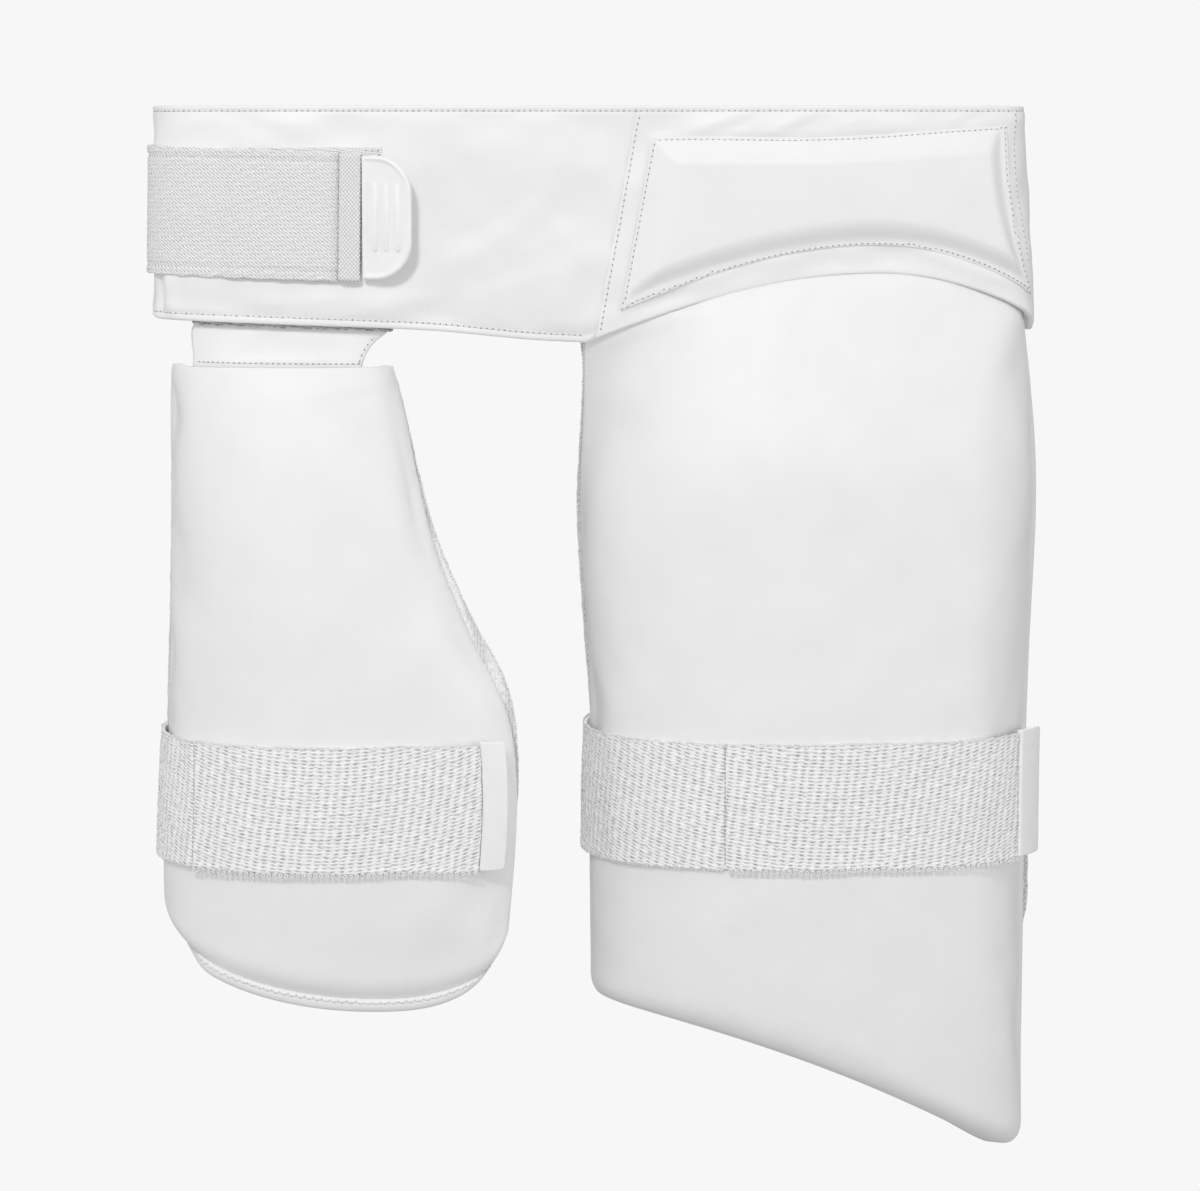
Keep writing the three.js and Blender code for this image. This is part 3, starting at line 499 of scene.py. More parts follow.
class Finish:
    """A material made of nodes. Its coordinates are millimetres along, up and out of the cloth."""

    def __init__(self, name, **shader):
        self.made = bpy.data.materials.new(name)
        self.made.use_nodes = True
        self.tree = self.made.node_tree
        self.shader = self.tree.nodes["Principled BSDF"]
        for socket, value in shader.items():
            self.shader.inputs[socket.replace("_", " ")].default_value = value
        held = self.node("Attribute", attribute_name="cloth", attribute_type="GEOMETRY")
        self.cloth = held.outputs["Vector"]
        self.bumped = None

    def node(self, kind, inputs=(), **settings):
        return add_node(self.tree, kind, inputs, **settings)

    def math(self, operation, a, b):
        return self.node("Math", {0: a, 1: b}, operation=operation).outputs[0]

    def mapped(self, stretch=(1, 1, 1), turn=0.0):
        inputs = {"Vector": self.cloth, "Scale": stretch, "Rotation": (0, 0, turn)}
        return self.node("Mapping", inputs).outputs["Vector"]

    def noise(self, scale, detail=2.0, stretch=(1, 1, 1), roughness=0.5):
        inputs = {"Vector": self.mapped(stretch), "Scale": scale, "Detail": detail, "Roughness": roughness}
        return self.node("TexNoise", inputs).outputs["Fac"]

    def cells(self, scale, stretch=(1, 1, 1), feature="F1"):
        inputs = {"Vector": self.mapped(stretch), "Scale": scale}
        return self.node("TexVoronoi", inputs, feature=feature).outputs["Distance"]

    def waves(self, scale, turn, distortion, detail_scale=1.0):
        inputs = {"Vector": self.mapped(turn=turn), "Scale": scale, "Distortion": distortion}
        inputs["Detail Scale"] = detail_scale
        return self.node("TexWave", inputs, wave_type="BANDS", bands_direction="X").outputs["Fac"]

    def weave(self, wide, high, turn, distortion):
        """Rows of raised stitches, each row half a stitch along from the last. Sizes are millimetres."""
        a = self.waves(WAVE / wide, turn, distortion, 2.0)
        b = self.waves(WAVE / high, turn + math.pi / 2, distortion, 2.0)
        same = self.math("MULTIPLY", self.math("MULTIPLY", a, b), 2.0)
        return self.math("SUBTRACT", self.math("ADD", same, 1.0), self.math("ADD", a, b))

    def sum(self, *terms):
        """The sum of heights, each a pair of an output and its share."""
        scaled = [self.math("MULTIPLY", output, share) for output, share in terms]
        total = scaled[0]
        for term in scaled[1:]:
            total = self.math("ADD", total, term)
        return total

    def bump(self, height, distance, strength):
        inputs = {"Height": height, "Distance": distance * MM, "Strength": strength}
        if self.bumped is not None:
            inputs["Normal"] = self.bumped
        self.bumped = self.node("Bump", inputs).outputs["Normal"]

    def shades(self, factor, dark, light, low=0.3, high=0.7):
        ramp = self.node("ValToRGB", {"Fac": factor})
        for stop, place, colour in zip(ramp.color_ramp.elements, (low, high), (dark, light)):
            stop.position = place
            stop.color = (*colour, 1)
        self.tree.links.new(ramp.outputs["Color"], self.shader.inputs["Base Color"])

    def gloss(self, factor, low, high):
        found = self.node("MapRange", {"Value": factor, "To Min": low, "To Max": high}).outputs["Result"]
        self.tree.links.new(found, self.shader.inputs["Roughness"])

    def done(self):
        if self.bumped is not None:
            self.tree.links.new(self.bumped, self.shader.inputs["Normal"])
        return self.made


def leather_finish():
    finish = Finish("leather", Specular_IOR_Level=0.42, IOR=1.46, Sheen_Weight=0.04)
    finish.shades(finish.noise(0.035, 3.0), (0.902, 0.902, 0.905), (0.93, 0.93, 0.932))
    finish.gloss(finish.noise(0.5, 3.0), 0.4, 0.54)
    finish.bump(finish.noise(0.045, 4.0, (1, 0.7, 1), 0.55), 1.2, 0.35)
    finish.bump(finish.cells(1.3, feature="DISTANCE_TO_EDGE"), 0.05, 0.5)
    finish.bump(finish.noise(5.0, 2.0), 0.03, 0.5)
    return finish.done()


ELASTIC_YARN = {"Roughness": 0.85, "Sheen_Weight": 0.25, "Sheen_Roughness": 0.5, "Specular_IOR_Level": 0.25}


def knit_finish():
    finish = Finish("knit_elastic", **ELASTIC_YARN)
    knit = finish.weave(1.8, 2.8, 0.0, 1.4)
    ribs = finish.waves(WAVE / 2.1, math.pi / 2, 0.3, 2.0)
    slant = finish.waves(WAVE / 1.3, math.radians(128), 1.6, 1.5)
    both = finish.sum((knit, 0.26), (slant, 0.5))
    patch = finish.math("MULTIPLY", finish.noise(0.7, 3.0, (1, 0.6, 1), 0.7), 0.5)
    # painted shade: the knit's low places take the darker colour; the noise added on top is the yarn's own
    # uneven tone
    finish.shades(finish.math("ADD", both, patch), (0.68, 0.684, 0.692), (0.97, 0.972, 0.975), 0.3, 0.86)
    finish.bump(both, 0.5, 0.9)
    finish.bump(ribs, 0.25, 0.6)
    finish.bump(finish.noise(2.5), 0.15, 0.5)
    return finish.done()


def hem_finish():
    finish = Finish("knit_hem", **ELASTIC_YARN)
    chain = finish.weave(1.8, 2.1, 0.0, 0.6)
    # painted shade: the chain's low places take the darker colour
    finish.shades(chain, (0.62, 0.624, 0.632), (0.96, 0.962, 0.966), 0.1, 0.7)
    finish.bump(chain, 0.5, 0.8)
    finish.bump(finish.noise(2.5), 0.15, 0.5)
    return finish.done()


PILE_TURN = 0.12


def pile_finish(name, dark, light, wide, high, low=0.3, top=0.72):
    """Loop pile: rows of stitches, slanted strokes and curls, with painted shade in its low places. Sizes are
    millimetres.
    """
    finish = Finish(name, Roughness=0.95, Sheen_Weight=0.3, Sheen_Roughness=0.6, Specular_IOR_Level=0.15)
    loops = finish.weave(wide, high, PILE_TURN, 1.8)
    curl = finish.noise(0.8 / high, 2.0, (0.6, 1, 1), 0.65)
    rows = finish.waves(WAVE / high, math.pi / 2 + PILE_TURN, 2.6, 1.6)
    height = finish.sum((loops, 0.26), (rows, 0.36), (curl, 0.62))
    # painted shade: the pile's low places, between the loops, take the dark colour
    finish.shades(height, dark, light, low, top)
    finish.bump(height, 0.8, 0.9)
    finish.bump(finish.noise(0.12, 3.0), 1.0, 0.4)
    return finish.done()


def lining_finish():
    yarn = {"Roughness": 0.9, "Sheen_Weight": 0.25, "Sheen_Roughness": 0.5, "Specular_IOR_Level": 0.2}
    finish = Finish("lining_mesh", **yarn)
    holes = finish.cells(0.42, (1, 1.2, 1))
    # painted shade: the mesh is darker in its holes
    finish.shades(holes, (0.64, 0.644, 0.655), (0.86, 0.863, 0.87), 0.12, 0.45)
    finish.bump(holes, 0.6, 0.7)
    finish.bump(finish.noise(4.0, 2.0), 0.2, 0.6)
    return finish.done()


def moulded_finish():
    finish = Finish("moulded_tab", Specular_IOR_Level=0.45)
    finish.shades(finish.noise(0.1, 2.0), (0.93, 0.931, 0.934), (0.96, 0.96, 0.962))
    finish.gloss(finish.noise(0.8, 2.0), 0.34, 0.46)
    finish.bump(finish.noise(6.0, 2.0), 0.02, 0.5)
    return finish.done()


def thread_finish(name, dark, light):
    finish = Finish(name, Roughness=0.7, Sheen_Weight=0.1, Specular_IOR_Level=0.3)
    twist = finish.waves(1.6, math.radians(40), 0.3)
    # painted shade: darker along the twist's grooves
    finish.shades(twist, dark, light)
    finish.bump(twist, 0.08, 0.6)
    return finish.done()


LEATHER = leather_finish()
KNIT = knit_finish()
HEM = hem_finish()
# The pile finishes carry painted shade in their low places; the hook tape's grey is its own colour.
PILE = pile_finish("loop_pile", (0.34, 0.345, 0.355), (0.99, 0.99, 0.99), 4.4, 1.8, 0.22, 0.58)
PATCH = pile_finish("patch_pile", (0.8, 0.802, 0.81), (0.94, 0.94, 0.945), 1.6, 1.2)
HOOK = pile_finish("hook_tape", (0.16, 0.16, 0.17), (0.6, 0.6, 0.61), 1.7, 1.4)
LINING = lining_finish()
LIP = pile_finish("lip_edge", (0.62, 0.624, 0.632), (0.92, 0.922, 0.926), 1.6, 1.2)
MOULDED = moulded_finish()
THREAD = thread_finish("thread", (0.82, 0.825, 0.835), (0.95, 0.952, 0.956))
# Painted shade: dark colours for needle holes, zigzag pricks and the strap seam's groove.
SHADE = thread_finish("stitch_hole_shade", (0.34, 0.343, 0.35), (0.46, 0.463, 0.47))
SEAM_SHADE = thread_finish("seam_shadow", (0.4, 0.405, 0.415), (0.66, 0.665, 0.675))


# Stitching

def capsule(length, radius, sides=7):
    """A short thread with round ends, along x."""
    half = length / 2
    turns = np.arange(sides) / sides * 2 * math.pi
    profile = [(-half, 0.15), (-half + radius * 0.4, 0.75), (-half + radius, 1), (half - radius, 1),
               (half - radius * 0.4, 0.75), (half, 0.15)]
    points = [(x, radius * s * math.cos(a), radius * s * math.sin(a)) for x, s in profile for a in turns]
    index = np.arange(len(points)).reshape(len(profile), sides)
    index = np.concatenate([index, index[:, :1]], 1)
    faces = grid_quads(index)[:, ::-1].tolist()
    faces += [list(range(sides))[::-1], list(range(len(points) - sides, len(points)))]
    return np.array(points), faces


def spaced(points, normals, pitch):
    """Places along a line at an even pitch, with the line's direction and outward direction."""
    run = np.concatenate([[0], np.cumsum(np.linalg.norm(np.diff(points, axis=0), axis=1))])
    count = max(1, int(run[-1] / pitch))
    at = (np.arange(count) + 0.5) * run[-1] / count

    def value(array, where):
        return np.stack([np.interp(where, run, array[:, k]) for k in range(3)], -1)

    along = unit(value(points, np.minimum(at + 0.5, run[-1])) - value(points, np.maximum(at - 0.5, 0)))
    return value(points, at), along, square_to(value(normals, at), along)


def copies(template, faces, centre, along, normal):
    """The same small form at many places, as one set of points and faces."""
    side = np.cross(normal, along)
    points = (centre[:, None] + along[:, None] * template[None, :, :1]
              + side[:, None] * template[None, :, 1:2] + normal[:, None] * template[None, :, 2:])
    shift = len(template)
    made = [[v + k * shift for v in f] for k in range(len(centre)) for f in faces]
    return points.reshape(-1, 3), made


STITCH_SUNK = 0.02
# The dark disc painted as the shade in each needle hole: its length, radius and flattening
HOLE_SHADE_LENGTH = 1.15
HOLE_SHADE_RADIUS = 0.42
HOLE_SHADE_FLAT = 0.45
OVERLOCK_PITCH = 1.5
OVERLOCK_RADIUS = 0.34


def stitch_line(line, pitch=2.9, length=2.1, radius=0.3):
    """Thread, and dark discs of painted shade at the needle holes, along one stitched line, each as (points,
    faces).
    """
    centre, along, normal = spaced(*line, pitch)
    centre = centre - normal * STITCH_SUNK
    thread = copies(*capsule(length, radius), centre, along, normal)
    shade_disc, shade_disc_faces = capsule(HOLE_SHADE_LENGTH, HOLE_SHADE_RADIUS)
    shade_disc = shade_disc * np.array([1, 1, HOLE_SHADE_FLAT])
    return thread, copies(shade_disc, shade_disc_faces, centre + along * pitch / 2, along, normal)


def overlock_line(line, reach, slant=0.35):
    """Threads that wrap an edge: line runs along the edge, and its normals point off the edge."""
    centre, along, normal = spaced(*line, OVERLOCK_PITCH)
    wave = np.where(np.arange(len(centre)) % 2 == 0, 1, -1)[:, None] * slant
    across = unit(np.cross(normal, along) + along * wave)
    return copies(*capsule(reach, OVERLOCK_RADIUS, 6), centre, across, normal)


def joined(parts):
    points, faces, shift = [], [], 0
    for part_points, part_faces in parts:
        points.append(part_points)
        faces += [[v + shift for v in f] for f in part_faces]
        shift += len(part_points)
    return np.concatenate(points), faces


def add_threads(name, parts, finish, slot):
    points, faces = joined(parts)
    return add(name, mesh_of(name, points, faces, points), finish, slot)


def add_stitching(name, lines, slot="cover", **shape):
    made = [stitch_line(line, **shape) for line in lines]
    add_threads(name, [m[0] for m in made], THREAD, slot)
    # dark discs at the needle holes: painted shade
    add_threads(name + "_holes", [m[1] for m in made], SHADE, slot)


def laid(piece, points, lift=0.0):
    """A line moved onto a piece's surface: the nearest points on it and their outward directions."""
    corners = [v.co.copy() for v in piece.data.vertices]
    tree = BVHTree.FromPolygons(corners, [list(face.vertices) for face in piece.data.polygons])
    found = [tree.find_nearest(Vector(point) * MM)[:2] for point in points.tolist()]
    normals = np.array([normal[:] for place, normal in found])
    return np.array([place[:] for place, normal in found]) / MM + normals * lift, normals


def facing(points, direction):
    """A line whose outward direction is the same all along."""
    return points, np.tile(np.array(direction, float), (len(points), 1))


def surface_line(loop, along, z, out):
    """A line on a loop's surface, with its outward directions."""
    along, z = np.broadcast_arrays(np.asarray(along, float), np.asarray(z, float))
    points = loop.at(along, z, out)
    normals = loop.at(along, z, np.asarray(out) + 1.0) - points
    return points, normals


# Belt

def arch_z(along):
    """The hip panel's arched lower edge."""
    along = np.asarray(along, float)
    within = along < ARCH_PEAK
    span = np.where(within, ARCH_PEAK - ARCH_START, ARCH_SPAN_OUT)
    drop = np.where(within, ARCH_DROP_IN, ARCH_DROP_OUT)
    share = np.minimum(1, np.abs(along - ARCH_PEAK) / span)
    return ARCH_PEAK_Z - drop * (1 - np.cos(share * math.pi / 2))


WING_LEFT = -float(waist.size(waist.to_left, 0))
PANEL_RIGHT = float(waist.size(waist.to_right, 0)) + PANEL_RETURN


def belt_edge_z(along):
    """The belt's lower edge: the wing's own line, then the arch."""
    share = (along - WING_LEFT) / (ARCH_START - WING_LEFT)
    end = float(arch_z(ARCH_START))
    level = end + WING_DIP
    wing = level - (level - end) * through(WING_EDGE, "drop", share)
    return np.where(np.asarray(along) > ARCH_START, arch_z(along), wing)


def seam_at(z):
    """Where the seam between the wing and the hip panel lies."""
    return SEAM_X + SEAM_LEAN * z / BELT_TOP


# Folds of the belt's cover: place, turn in degrees, half length, half width and rise
FOLDS = [
    {"x": 62, "z": 45, "turn": 24, "length": 17, "width": 2.6, "rise": 1.0},
    {"x": 72, "z": 43, "turn": 24, "length": 15, "width": 2.2, "rise": -0.7},
    {"x": 98, "z": 45, "turn": 30, "length": 15, "width": 2.6, "rise": 1.0},
    {"x": 108, "z": 44, "turn": 28, "length": 14, "width": 2.2, "rise": -0.7},
    {"x": 132, "z": 46, "turn": 22, "length": 16, "width": 2.6, "rise": 0.7},
    {"x": 183, "z": 48, "turn": 30, "length": 11, "width": 2.0, "rise": 1.0},
    {"x": 192, "z": 48, "turn": 32, "length": 10, "width": 1.8, "rise": -0.8},
    {"x": -100, "z": -46, "turn": 12, "length": 26, "width": 4, "rise": 0.8},
    {"x": -186, "z": -46, "turn": -8, "length": 24, "width": 4, "rise": -0.7},
    {"x": -200, "z": 44, "turn": 30, "length": 20, "width": 4, "rise": 0.8},
    {"x": -165, "z": 42, "turn": -24, "length": 22, "width": 5, "rise": -0.7},
    {"x": -60, "z": -20, "turn": 28, "length": 26, "width": 6, "rise": 0.7},
    {"x": -42, "z": -30, "turn": 24, "length": 24, "width": 5, "rise": -0.6},
    {"x": -130, "z": 44, "turn": 8, "length": 40, "width": 6, "rise": 0.6},
    {"x": -20, "z": 20, "turn": 65, "length": 30, "width": 8, "rise": 0.5},
    {"x": -150, "z": -45, "turn": 3, "length": 50, "width": 4, "rise": 0.6},
]


def fold_rise(folds, x, z):
    total = np.zeros(np.broadcast(x, z).shape)
    for fold in folds:
        turn = math.radians(fold["turn"])
        u = (x - fold["x"]) * math.cos(turn) + (z - fold["z"]) * math.sin(turn)
        v = -(x - fold["x"]) * math.sin(turn) + (z - fold["z"]) * math.cos(turn)
        total += fold["rise"] * np.exp(-((u / fold["length"]) ** 2) - (v / fold["width"]) ** 2)
    return total


def quarter_fall(distance, radius):
    """How far a rounded edge has fallen away at a distance from its rim."""
    share = np.clip(distance / radius, 0, 1)
    return radius * (1 - np.sqrt(1 - (1 - share) ** 2))


def hip_bottom_z(along):
    """The raised pad's lower edge, a margin above the arch."""
    span = np.where(along < ARCH_PEAK, ARCH_PEAK - ARCH_START, ARCH_SPAN_OUT)
    share = np.minimum(1, np.abs(along - ARCH_PEAK) / span)
    return arch_z(along) + HIP_MARGIN + HIP_MARGIN_CROWN * (1 - share * share)


def hip_top_z(across):
    return HIP_TOP_Z + HIP_TOP_CLIMB * across - HIP_TOP_DIP * np.sin(math.pi * np.clip(across, 0, 1)) ** 2


def hip_sides(z, top, bottom):
    """The raised pad's left and right edges at a height."""
    down = np.clip((top - z) / (top - bottom), 0, 1)
    right = mix(HIP_RIGHT_TOP, HIP_RIGHT_BOTTOM, down**HIP_RIGHT_CURVE)
    return mix(HIP_LEFT_TOP, HIP_LEFT_BOTTOM, down), right


def nearest_edge(along, z, left, right, top, bottom):
    return np.minimum(np.minimum(along - left, right - along), np.minimum(top - z, z - bottom))


def under_hip_pad(along, z):
    """One where the raised pad is stitched over the belt, and nothing outside it."""
    across = (along - HIP_LEFT_BOTTOM) / (HIP_RIGHT_BOTTOM - HIP_LEFT_BOTTOM)
    top, bottom = hip_top_z(across), hip_bottom_z(along)
    return smooth(nearest_edge(along, z, *hip_sides(z, top, bottom), top, bottom), -3, 1)


HEM_TOP = 2.6
HEM_BOTTOM = 3.6
ROLL = 1.3
BELT_CORNER = 17
SEAM_STEP = 0.35
WING_TUCK = 2.2
PANEL_TUCK = 1.0
STITCH_SINK = 0.55
PUCKER_RISE = 0.16
PUCKER_PITCH = 5.8
BELT_LUMPS = [(1.1, 36, 26, 0), (0.4, 15, 11, 9)]
GATHERS = [(2.2, 25, 3.6), (-2.0, 18, 2.8)]  # rise, place from the left end and width


def belt_out(along, z, left, right):
    """How far the belt's cover stands in or out: rolled edges, sunk stitch lines and folds."""
    top, bottom = BELT_TOP - z, z - belt_edge_z(along)
    on_wing = along < seam_at(z)
    out = -quarter_fall(np.minimum(top, bottom), ROLL)
    out -= quarter_fall(np.where(on_wing, along - left, right - along), ROLL)
    out -= SEAM_STEP * on_wing * smooth(right - along, 1.5, 0)
    out -= WING_TUCK * (1 - smooth(bottom, 0, 10)) * smooth(along, -110, -20) * on_wing
    out -= PANEL_TUCK * (1 - smooth(bottom, 0, 9)) * (1 - on_wing) * (1 - smooth(along, 90, 140))
    groove = ridge(top, HEM_TOP, 0.8) + ridge(bottom, HEM_BOTTOM, 0.8) * on_wing
    inside = smooth(top, 0, 8) * smooth(bottom, 0, 8)
    x = waist.look(along, z)[..., 0]
    pucker = PUCKER_RISE * np.sin(along * 2 * math.pi / PUCKER_PITCH + 2 * lumps(along / 9, z / 9))
    near = ridge(top, HEM_TOP + 1.6, 2.4) + ridge(bottom, HEM_BOTTOM + 1.6, 2.4)
    gather = sum(rise * ridge(along - WING_LEFT, place, width) for rise, place, width in GATHERS)
    soft = layers(lumps, BELT_LUMPS, along, z) + gather * smooth(-z, 24, 38)
    loose = inside * (fold_rise(FOLDS, x, z) + soft - 0.2) + 0.25 * ridge(top, HEM_TOP + 5, 3)
    out = out - STITCH_SINK * groove + pucker * near * smooth(np.minimum(top, bottom), 1.5, 3)
    return out + mix(loose, -0.25, under_hip_pad(along, z))


def belt_panel(name, left_at, right_at, node):
    """One panel of the belt, from its left edge to its right edge."""
    width = float(right_at(0) - left_at(0))
    across = edge_stops(width, ROLL, 2.0) / width
    edge = BELT_BOTTOM + 0 * across
    for _ in range(6):
        edge = belt_edge_z(mix(left_at(edge), right_at(edge), across))
    edge = edge + quarter_fall(mix(left_at(edge), right_at(edge), across) - WING_LEFT, BELT_CORNER)
    down = edge_stops(BELT_TOP - edge, 8.0, 2.0).T
    z = BELT_TOP - down
    left, right = left_at(z), right_at(z)
    along = mix(left, right, across[None, :])
    out = belt_out(along, z, left, right)
    pressed = cloth_swell(waist.at(along, z, out), 2.0, 0.012, 1.6) - 0.5
    free = (1 - under_hip_pad(along, z)) * smooth(down, 2, 9) * smooth(z - belt_edge_z(along), 2, 9)
    low = (BELT_TOP - edge)[None, :] - down
    fall = quarter_fall(np.minimum(down, low), 0.9) + 0.9 * (1 - smooth(low, 0, 9)) * smooth(along, -20, 10)
    face, back = waist.at(along, z, out + pressed * free), waist.at(along, z, -BELT_THICK + fall)
    piece = add(name, shell(name, face, back, cloth_of(along, z)), LEATHER, "cover", node)
    return piece


belt_panel("belt_wing_cover", lambda z: WING_LEFT + 0 * z, lambda z: seam_at(z) + 0.4, "belt_wing")
panel = belt_panel("hip_panel_cover", lambda z: seam_at(z), lambda z: PANEL_RIGHT + 0 * z, "hip_panel")


def hip_grid():
    width = HIP_RIGHT_BOTTOM - HIP_LEFT_BOTTOM
    across = edge_stops(float(width), 14.0, 2.2) / width
    top = hip_top_z(across)
    bottom = hip_bottom_z(mix(HIP_LEFT_BOTTOM, HIP_RIGHT_BOTTOM, across))
    down = edge_stops(top - bottom, 13.0, 1.8).T
    z = top - down
    left, right = hip_sides(z, top, bottom)
    return mix(left, right, across), z, left, right, top, bottom


def soft_min(a, b, width):
    """The lesser of two values, rounded over where they are close."""
    close = np.maximum(width - np.abs(a - b), 0) / width
    return np.minimum(a, b) - close * close * width / 4


def hip_slope(distance, foot, width, shoulder):
    """The raised pad's slope on one side: a flat stitched margin, then up to a shoulder."""
    t = (distance - foot) / (width - foot)
    return soft_min(-soft_min(-t, 0 * t, 0.14), 1 + 0 * t, shoulder)


HIP_FLUSH = 0.65
HIP_STITCH = 0.95
HIP_LUMPS = [(0.3, 30, 24, 4)]


def build_hip_pad():
    along, z, left, right, top, bottom = hip_grid()
    sides = soft_min(hip_slope(along - left, 1.5, 14.0, 0.6), hip_slope(right - along, 5.0, 13.0, 0.12), 0.08)
    margin = 1.8 + 2.6 * np.clip(np.abs(along - 125) / 90, 0, 1) ** 2
    low = hip_slope(z - bottom, margin, margin + 9.0, 0.7)
    ends = soft_min(hip_slope(top - z, 1.2, 12.5, 0.1), low * low * (3 - 2 * low), 0.08)
    rise = np.clip(soft_min(sides, ends, 0.08), 0, 1)
    across, up = (along - left) / (right - left), (top - z) / (top - bottom)
    crown = 0.7 * np.sin(math.pi * across) * np.sin(math.pi * up)
    full = HIP_RISE - HIP_FLUSH - 0.6 + layers(lumps, HIP_LUMPS, along, z) + crown
    nearest = nearest_edge(along, z, left, right, top, bottom)
    out = HIP_FLUSH + rise * full - quarter_fall(nearest, 0.35) - 0.3 * ridge(nearest, HIP_STITCH, 0.6)
    out += 0.1 * np.sin(along * 1.1) * ridge(nearest, 2.4, 1.2)
    mesh = shell("hip_pad_cover", waist.at(along, z, out), waist.at(along, z, 0.05), cloth_of(along, z))
    piece = add("hip_pad_cover", mesh, LEATHER, "cover", "hip_pad")
    return piece


hip_cover = build_hip_pad()


def hip_outline(inset):
    """The hip pad's stitched line: down its left side, along the bottom, up the right, back along the top."""
    t = np.linspace(0, 1, 120)
    corner = {}
    for key, share in (("left", 0.0), ("right", 1.0)):
        top = float(hip_top_z(share))
        guide = mix(HIP_LEFT_BOTTOM, HIP_RIGHT_BOTTOM, share)
        corner[key] = top - inset, float(hip_bottom_z(guide)) + inset
    left_z = mix(*corner["left"], t)
    left = mix(HIP_LEFT_TOP, HIP_LEFT_BOTTOM, t) + inset
    right_z = mix(*corner["right"], t)
    right = mix(HIP_RIGHT_TOP, HIP_RIGHT_BOTTOM, t**HIP_RIGHT_CURVE) - inset
    bottom = mix(left[-1], right[-1], t)
    bottom_z = hip_bottom_z(bottom) + inset
    top_along = mix(left[0], right[0], t)
    top_z = hip_top_z(t) - inset
    return [(left, left_z), (bottom, bottom_z), (right, right_z), (top_along, top_z)]


def belt_line(along, z):
    on_wing, seam = along < seam_at(z), seam_at(z)
    out = belt_out(along, z, np.where(on_wing, WING_LEFT, seam), np.where(on_wing, seam, PANEL_RIGHT))
    return surface_line(waist, along, z, out + 0.1)


def belt_stitching():
    run = np.linspace(WING_LEFT + 4, PANEL_RIGHT - 4, 900)
    lines = [belt_line(run, BELT_TOP - HEM_TOP + 0 * run)]
    run = np.linspace(WING_LEFT + 8, ARCH_START - 2, 500)
    lines.append(belt_line(run, belt_edge_z(run) + HEM_BOTTOM))
    z = np.linspace(BELT_TOP - 3, -58, 160)
    lines.append(laid(panel, waist.at(seam_at(z) + 1.6, z, 0.5)))
    z = np.linspace(BELT_TOP - 2, -24, 120)
    side = mix(214.5, 231, smooth(z, BELT_TOP, -60) ** 1.4)
    lines.append(laid(panel, waist.at(side, z, 0.5)))
    lines += [laid(hip_cover, waist.at(along, z, 1.5)) for along, z in hip_outline(HIP_STITCH)]
    add_stitching("belt_stitches", lines)


belt_stitching()


# Waist elastic, its folded end, the pile patch and the pull tab

ELASTIC_HUG = 1.6

elastic_finish = float(waist.across(ELASTIC_END_X, 0))
patch_start = float(waist.across(PATCH_START_X, 0))
panel_end = PANEL_RIGHT - float(waist.size(waist.around, 0))


def elastic_inside(along):
    """How far out the elastic's inner face lies, from its sewn end to its folded end."""
    within = -BELT_THICK - SEAT - ELASTIC_THICK
    turn = smooth(along, panel_end, WING_LEFT - 8)
    on_patch = smooth(along, patch_start - 16, patch_start - 4)
    behind = smooth(along, panel_end, panel_end + 60) * smooth(along, WING_LEFT + 2, WING_LEFT - 12)
    return mix(within, SEAT, turn) + (PATCH_THICK + GAP) * on_patch - ELASTIC_HUG * behind


def elastic_middle(along):
    """The height of the elastic's middle line."""
    fall = np.clip((along - WING_LEFT) / (elastic_finish - WING_LEFT), 0, 1)
    return ELASTIC_RISE * smooth(along, panel_end, WING_LEFT) - ELASTIC_FALL * fall


def band(loop, name, level, along, heights, inside, outside, round_edge, finish, slot, node, ruffle=None,
         sag=None):
    """A band along a loop, its distances measured at one height. Heights run down, and its rows may sag."""
    z = heights
    scale = loop.size(loop.around, z) / float(loop.size(loop.around, level))
    top, bottom = heights[0], heights[-1]
    fall = quarter_fall(np.minimum(top - z, z - bottom), round_edge)
    ends = quarter_fall(np.minimum(along - along.min(), along.max() - along), round_edge)
    wave = 0 if ruffle is None else ruffle(along + 0 * z, z)
    face = loop.at(along * scale, z, outside - fall - ends + wave)
    back = loop.at(along * scale, z, inside + 0.5 * fall)
    rows = z if sag is None else z - sag(along)
    return add(name, shell(name, face, back, cloth_of(along + 0 * z, rows)), finish, slot, node)


def band_heights(middle, height, along, step, edge=2.0):
    """Heights down a band, close together at its two edges."""
    down = edge_stops(float(height), edge, step)
    return middle + height / 2 - down[:, None] + 0 * along


SELVAGE = 4.74
SELVAGE_SINK = 0.8
ELASTIC_LUMPS = [(0.25, 25, 18, 0)]


def elastic_ruffle(along, z):
    from_top = elastic_middle(along) + ELASTIC_HEIGHT / 2 - z
    from_bottom = ELASTIC_HEIGHT - from_top
    nearest = np.minimum(from_top, from_bottom)
    selvage = ridge(from_top, SELVAGE, 0.7) + ridge(from_bottom, SELVAGE, 0.7)
    slant = 0.2 * np.sin((along + nearest) * 2 * math.pi / 2.4) * smooth(nearest, 4.0, 3.4)
    return slant - SELVAGE_SINK * selvage + layers(lumps, ELASTIC_LUMPS, along, z)


